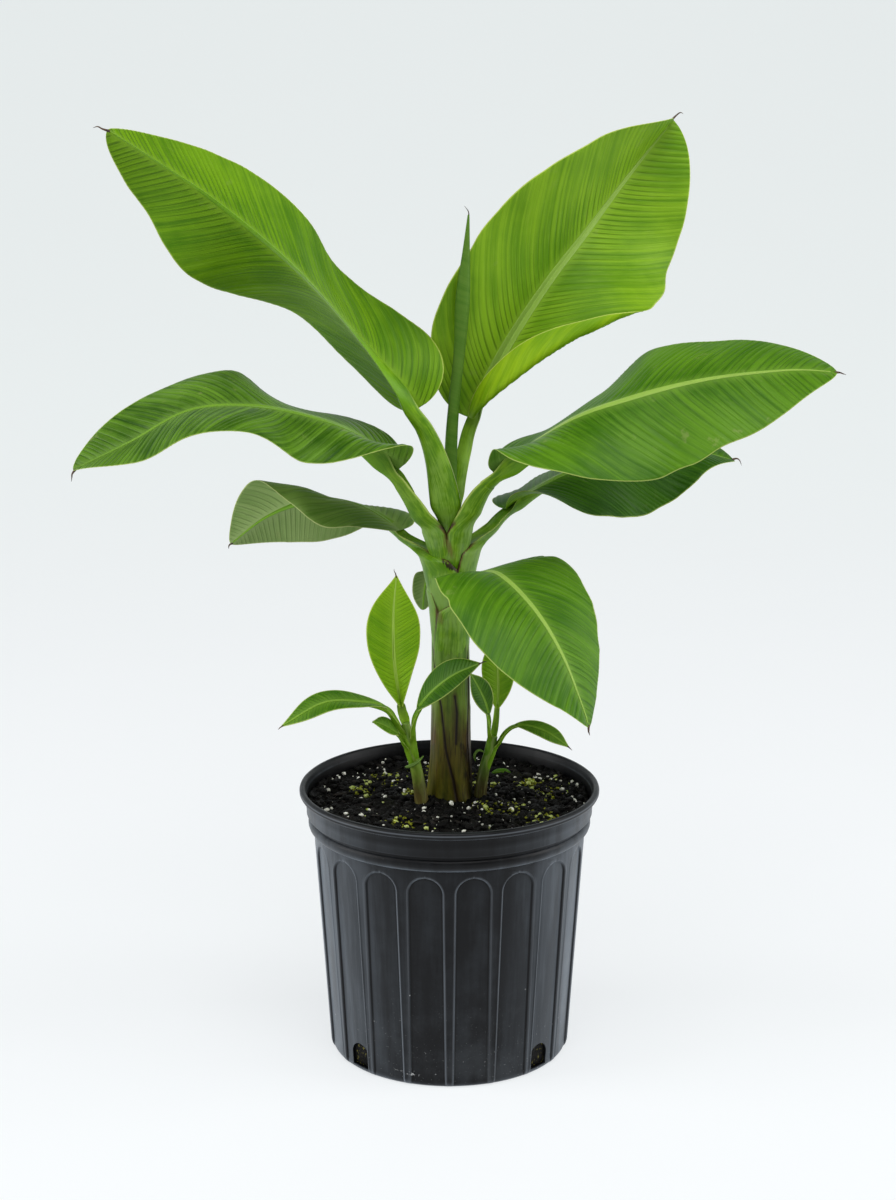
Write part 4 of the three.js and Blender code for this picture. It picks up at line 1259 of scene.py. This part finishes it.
def rolled_skin(name, path, radii, rows, columns, step, seam=(0.0, 0.0)):
    """A rolled sheet: a tube whose radius jumps at its outer edge, which winds up it as a seam."""
    share = np.linspace(0, 1, rows)
    centre = curve_at(path, share)
    heading = unit(np.gradient(centre, axis=0))
    left, up = across_and_up(heading, [0.0, -1.0, 0.0])
    turn = np.linspace(0, math.tau, columns + 1)
    turn[-1] = 0
    behind = ((turn - (seam[0] + seam[1] * share)[:, None]) / math.tau) % 1
    groove = 0.12 * np.exp(-(behind / 0.02) ** 2)
    ring = value_at(radii, share)[:, None] * (1 + step * (behind - 0.5)) - groove
    points = centre[:, None] + left[:, None] * (np.sin(turn) * ring)[..., None]
    points = points + up[:, None] * (np.cos(turn) * ring)[..., None]
    points[:, -1] = points[:, 0]
    piece = skin(name, points)
    keep_values(piece, "vein", share[:, None] * 0.29 - 0.012 * behind, behind * 0.03)
    keep_values(piece, "place", 0.0005 + behind * 0.03, 0.02)
    return piece


rolled = rolled_skin(
    "rolled_leaf_roll", ROLLED_PATH, ROLLED_RADII, ROLLED_ROWS, ROLLED_COLUMNS, 0.26, (0.3, 1.6)
)
finish_skin(rolled, [TISSUE["mid"][1]], ["rolled_leaf"])


# Suckers
# Two young offshoots that come up out of the mix beside the stem. Each has a short stem of its
# own, a papery pale collar where the lowest leaf base has split, and a few narrow leaves.

SUCKERS = {
    "left": ([[-24.6, -17, 237], [-29, -22, 270], [-34, -27, 294], [-38, -30, 312], [-40, -32, 325]],
             [6.82, 5.59, 5.16, 5.16, 3.87]),
    "right": ([[27.4, -6, 237], [32, -9, 270], [37, -11, 290], [41, -12, 306]],
              [6.39, 5.16, 4.73, 3.87]),
}

# Each leaf also has its tissue, lighter or darker with painted light and shade, and the turn round the
# sucker's stem at which its base sits.
SUCKER_LEAVES = {
    "left_upright": {
        "tissue": "young", "turn": 96, "stalk": [[-40, -32, 324], [-42, -31.5, 332]],
        "size": [[10, 7], [8, 5]],
        "rib": [[-44, -31, 340], [-50, -28, 380], [-51, -26, 424], [-48, -24, 462]],
        "face": [[0.1, -1, 0.1], [0, -1, 0.1]], "width": [26, 25, 27, 24, 12],
        "fold": [[58, 26, 12, 10, 8], [66, 32, 12, 10, 8]],
    },
    "left_arching": {
        "tissue": "mid", "turn": -165, "stalk": [[-40, -34, 316], [-47, -39, 330]],
        "size": [[8, 6], [6, 5]],
        "rib": [[-57, -44, 343], [-79, -54, 351], [-113, -66, 354], [-151, -76, 335]],
        "face": [[0.2, -0.4, 0.9], [-0.1, -0.5, 0.9]], "width": [12, 15, 15, 13, 7],
        "fold": [[25, -5], [0, 5]],
    },
    "left_small": {
        "tissue": "mid", "turn": -170, "stalk": [[-37, -32, 300], [-41, -36, 308]],
        "size": [[6, 4], [4, 3]], "rib": [[-46, -40, 316], [-58, -46, 326], [-70, -52, 332]],
        "face": [[0.2, -0.6, 0.8], [0, -0.6, 0.8]], "width": [7, 9, 9, 8, 4],
        "fold": [[15, 15], [15, 15]],
    },
    "left_inner": {
        "tissue": "deep_painted_shade", "turn": -15, "stalk": [[-35, -35, 310], [-35, -42, 326]],
        "size": [[7, 5], [5, 4]],
        "rib": [[-29, -48, 342], [-15, -56, 362], [4, -66, 380], [28, -76, 394]],
        "face": [[-0.5, -0.6, 0.6], [-0.4, -0.6, 0.7]], "width": [15, 19, 19, 16, 9],
        "fold": [[15, 5], [15, 5]],
    },
    "right_upright": {
        "tissue": "young", "turn": 96, "stalk": [[41, -11.5, 306], [43, -11, 320]],
        "size": [[7, 5], [5, 4]], "rib": [[44, -10, 332], [45, -8, 352], [44, -5, 378], [42, -2, 400]],
        "face": [[0.1, -1, 0.1], [0, -1, 0.1]], "width": [14, 17, 17, 14, 8],
        "fold": [[25, 10], [25, 10]],
    },
    "right_inner": {
        "tissue": "deep_painted_shade", "turn": -170, "stalk": [[39, -16, 306], [38, -20, 318]],
        "size": [[6, 4], [4, 3]],
        "rib": [[36, -24, 330], [32, -28, 345], [26, -32, 359], [19, -36, 373]],
        "face": [[0.5, -0.8, 0.3], [0.4, -0.8, 0.4]], "width": [10, 12, 12, 10, 5],
        "fold": [[15, 5], [15, 5]],
    },
    "right_outer": {
        "tissue": "mid", "turn": 0, "stalk": [[42, -13, 296], [50, -18, 311]], "size": [[6, 4], [4, 3]],
        "rib": [[60, -24, 320], [75, -30, 321], [92, -37, 316], [109, -46, 306]],
        "face": [[0, -0.5, 0.9], [0.2, -0.5, 0.9]], "width": [7, 9, 9, 8, 4],
        "fold": [[15, 5], [0, -5]],
    },
}

SUCKER_ROWS = 130
SUCKER_COLUMNS = 56
SUCKER_HALF = 14
SUCKER_PLEAT = (3.6, 0.1, 0.6)
SUCKER_ENDS = (3, 0.9, 6, 1.0)


def sucker_finish():
    """Young sheaths: olive brown at the foot, bright green above, with fine long lines."""
    material, wire = new_finish("sucker_sheaths")
    place = object_place(wire)
    z = place.parts()[2]
    fibres = place.noise(420, 3.0, 0.6, (1, 1, 0.06))
    cloud = place.noise(60, 4.0, 0.55, (1, 1, 0.5))
    age = (z + (cloud - 0.5) * 0.03).step(0.25, 0.288)
    old = cloud.step(0.4, 0.62).colours((62, 54, 20), (104, 92, 44))
    young = cloud.step(0.4, 0.62).colours((84, 124, 20), (120, 152, 44))
    green = (fibres.step(0.45, 0.7) * 0.4).colours(age.colours(old, young), (160, 172, 92))
    streak = fibres.step(0.55, 0.68) * (1 - age)
    colour = (streak * 0.7).colours(green, (44, 28, 14))
    show(wire, coat(wire, colour, fibres * 0.15 + 0.38, relief(fibres, 0.35, 0.0008)))
    return material


sucker_green = sucker_finish()
young_stalk = stalk_finish("young_stalk", (86, 132, 14), (126, 166, 34), (116, 154, 46), 0.1, 0.0)
# A lighter copy for the stalks of the upright sucker leaves, its midrib much paler: painted light where no
# lamp reaches their front.
painted_lit_upright_stalk = stalk_finish("painted_lit_upright_stalk", (96, 140, 12), (132, 170, 32), (160, 192, 78), 0.0, 0.0)
for side, (path, radii) in SUCKERS.items():
    stem = rolled_skin(
        "sucker_" + side + "_sheaths", path, radii, SUCKER_ROWS, SUCKER_COLUMNS, 0.12, (3.4, -0.7)
    )
    finish_skin(stem, [sucker_green], ["sucker_" + side + "_stem"])
    names = [name for name in SUCKER_LEAVES if name.startswith(side)]
    for seed, name in enumerate(names):
        leaf = SUCKER_LEAVES[name]
        leaf["ends"] = SUCKER_ENDS
        turn = leaf["turn"]
        foot = leaf["stalk"][0][2]
        base = [
            (foot - 34, turn + 120, turn - 120, -1.2, 0), (foot - 14, turn + 95, turn - 95, 0.1, 0.5),
            (foot - 2, turn + 60, turn - 60, 0.3, 1.5),
        ]
        joint = (foot - 6, foot + 7)
        axis = axis_of(path, radii)
        stalk = stalk_skin("stalk_" + name, leaf, base, joint, math.radians(turn), axis)
        green = painted_lit_upright_stalk if name.endswith("upright") else young_stalk
        finish_skin(stalk, [green])
        blade, sides = blade_skin(
            "blade_" + name, leaf, SUCKER_ROWS, SUCKER_HALF, SUCKER_PLEAT, 50 + seed * 2.3
        )
        node = "sucker_" + name.replace("_", "_leaf_")
        finish_skin(blade, TISSUE[leaf["tissue"]], [node], sides)


# Collar flaps
# Where a sucker's lowest leaf base has split, its thin pale edge stands off as a small curled flap.

COLLAR_FLAPS = {
    "left_flap": ([[-41, -27, 281], [-37, -34, 284], [-30, -36, 288], [-24, -32, 293]],
                  [0.5, 1.7, 1.6, 0.6]),
    "right_flap": ([[24, -16, 283], [23, -17, 289], [27, -17, 294], [33, -17, 292]],
                   [0.5, 1.2, 1.2, 0.6]),
}
for name, (path, radii) in COLLAR_FLAPS.items():
    finish_skin(rolled_skin(name, path, radii, 40, 20, 0.3), [TISSUE["pale"][0]])


# Leaf scrap
# A scrap of green leaf that has dropped on the mix behind the stem, curled and lying loose.

SCRAP = [(41, 80, 0.5), (46, 79, 4.0), (54, 78, 4.2), (61, 79, 0.8)]
path = [[x, y, soil_height(x, y) + lift] for x, y, lift in SCRAP]
scrap = rolled_skin("leaf_scrap", path, [0.6, 2.3, 2.5, 0.5], 40, 20, 0.3)
finish_skin(scrap, [TISSUE["mid"][0]])


# Dry tips
# Each leaf ends in a thin brown thread, dried and hooked, left from when it was rolled.

TIP_HOOKS = {
    "upper_left": [(2, 0, -1), (-4, -1, 1), (-8, -1, 3), (-12, -1, 2)],
    "upper_right": [(-2, 0, -2), (3, 1, 3), (7, 1, 6), (10, 1, 5)],
    "right": [(-2, 0, 0), (2, 0, 0), (5, 0, -1), (8, 0, -2)],
    "middle_left": [(2, 0, 1), (-1, 0, -3), (-1.5, 0, -6), (-2, 0, -10)],
    "lower_right": [(-2, 0, 1), (3, 1, 2), (6, 1, 0), (8, 1, -5)],
    "rolled": [(0, 0, -3), (0, 0, 2), (-1.5, 0, 5), (-4, 0, 8)],
    "front_right": [(0, 0, 2), (0, -1, -3), (0.5, -1, -5), (1, -1, -7)],
    "lower_left": [(2, 0, 1), (-1, 1, -1), (-2, 1, -3), (-2, 1, -5)],
    "left_upright": [(0, 0, -2), (-1, 0, 2), (-2, 0, 4), (-2, 0, 6)],
    "left_arching": [(2, 0, 1), (-1, 0, -1), (-2, 0, -2), (-3, 0, -3)],
    "left_inner": [(-2, 0, -1), (2, 0, 1), (4, 0, 1.5), (6, 0, 1)],
    "right_outer": [(-1, 0, 1), (1, 0, -1), (2, 0, -2), (3, 0, -3)],
}


def dry_finish():
    """A dried leaf tip: brown to nearly black, with a crumpled surface."""
    material, wire = new_finish("dry_tip")
    crumple = object_place(wire).noise(700, 4.0, 0.6)
    colour = crumple.step(0.35, 0.65).colours((30, 18, 16), (92, 66, 44))
    show(wire, coat(wire, colour, crumple * 0.2 + 0.6, relief(crumple, 0.6, 0.001)))
    return material


dry = dry_finish()
all_leaves = {**LEAVES, **SUCKER_LEAVES}
for name, hook in TIP_HOOKS.items():
    tip = ROLLED_PATH[-1] if name == "rolled" else all_leaves[name]["rib"][-1]
    path = [[tip[i] + step[i] for i in range(3)] for step in hook]
    thick = 1.3 if name in LEAVES else 0.8
    radii = [thick, thick * 0.6, thick * 0.4, 0.12]
    finish_skin(rolled_skin("dry_tip_" + name, path, radii, 30, 10, 0.1), [dry])


# Floor and light
# A plain pale sweep that rises far behind the plant, a bright even room, and large soft lamps to
# the left, to the right and above.

FLOOR_WIDTH = 130.0
FLOOR_FRONT = -60.0
FLOOR_BACK = 2.5
FLOOR_DROP = 0.0002
FLAT_SHARE = 0.6
SWEEP_RISE = 6.0

stand_alone()
bpy.ops.mesh.primitive_grid_add(x_subdivisions=8, y_subdivisions=60, size=1)
sweep = bpy.context.object
sweep.name = "floor_sweep"
spots = corners_of(sweep)
along = (spots[:, 1] + 0.5) / FLAT_SHARE
rise = np.clip((along - 1) * FLAT_SHARE / (1 - FLAT_SHARE), 0, 1) * math.pi / 2
floor_run = FLOOR_FRONT + (FLOOR_BACK - FLOOR_FRONT) * along
spots[:, 0] *= FLOOR_WIDTH
spots[:, 1] = np.where(along < 1, floor_run, FLOOR_BACK + SWEEP_RISE * np.sin(rise))
spots[:, 2] = SWEEP_RISE * (1 - np.cos(rise)) - FLOOR_DROP
place_corners(sweep, spots)
take(sweep)
bpy.ops.object.shade_smooth()

floor_paper, wire = new_finish("floor_paper")
tooth = object_place(wire).noise(3.0, 3.0)
far_off = object_place(wire).parts()[1].step(0.6, 3.6)
show(wire, wire.node("ShaderNodeBsdfPrincipled", None, {
    "Base Color": tooth.colours((136, 138, 139), (140, 142, 143)),
    "Roughness": tooth * 0.05 + 0.85,
    "Specular IOR Level": 0.1,
    "Emission Color": far_off.colours((243, 246, 248), (249, 255, 255)),
    "Emission Strength": 0.72,
}))
sweep.data.materials.append(floor_paper)

world = bpy.data.worlds.new("room")
world.use_nodes = True
room = world.node_tree.nodes["Background"]
room.inputs["Color"].default_value = (1, 1, 1, 1)
room.inputs["Strength"].default_value = 0.2
bpy.context.scene.world = world


def soft_lamp(name, place, aim, width, height, power):
    """A large even lamp at a place, turned towards a point."""
    stand_alone()
    bpy.ops.object.light_add(type="AREA", location=place)
    lamp = bpy.context.object
    lamp.name = name
    lamp.data.shape = "RECTANGLE"
    lamp.data.size = width
    lamp.data.size_y = height
    lamp.data.energy = power
    away = Vector(place) - Vector(aim)
    lamp.rotation_euler = away.to_track_quat("Z", "Y").to_euler()


soft_lamp("lamp_above", (0.2, -1.3, 2.9), (0, 0, 0.5), 2.4, 1.8, 62)
soft_lamp("lamp_left", (-2.6, -0.5, 1.3), (0, 0, 0.5), 1.6, 2.4, 52)
soft_lamp("lamp_right", (2.6, -0.3, 1.5), (0, 0, 0.5), 1.6, 2.4, 46)

view = bpy.context.scene.view_settings
view.view_transform = "Standard"
view.exposure = 0
bpy.context.scene.cycles.max_bounces = 8
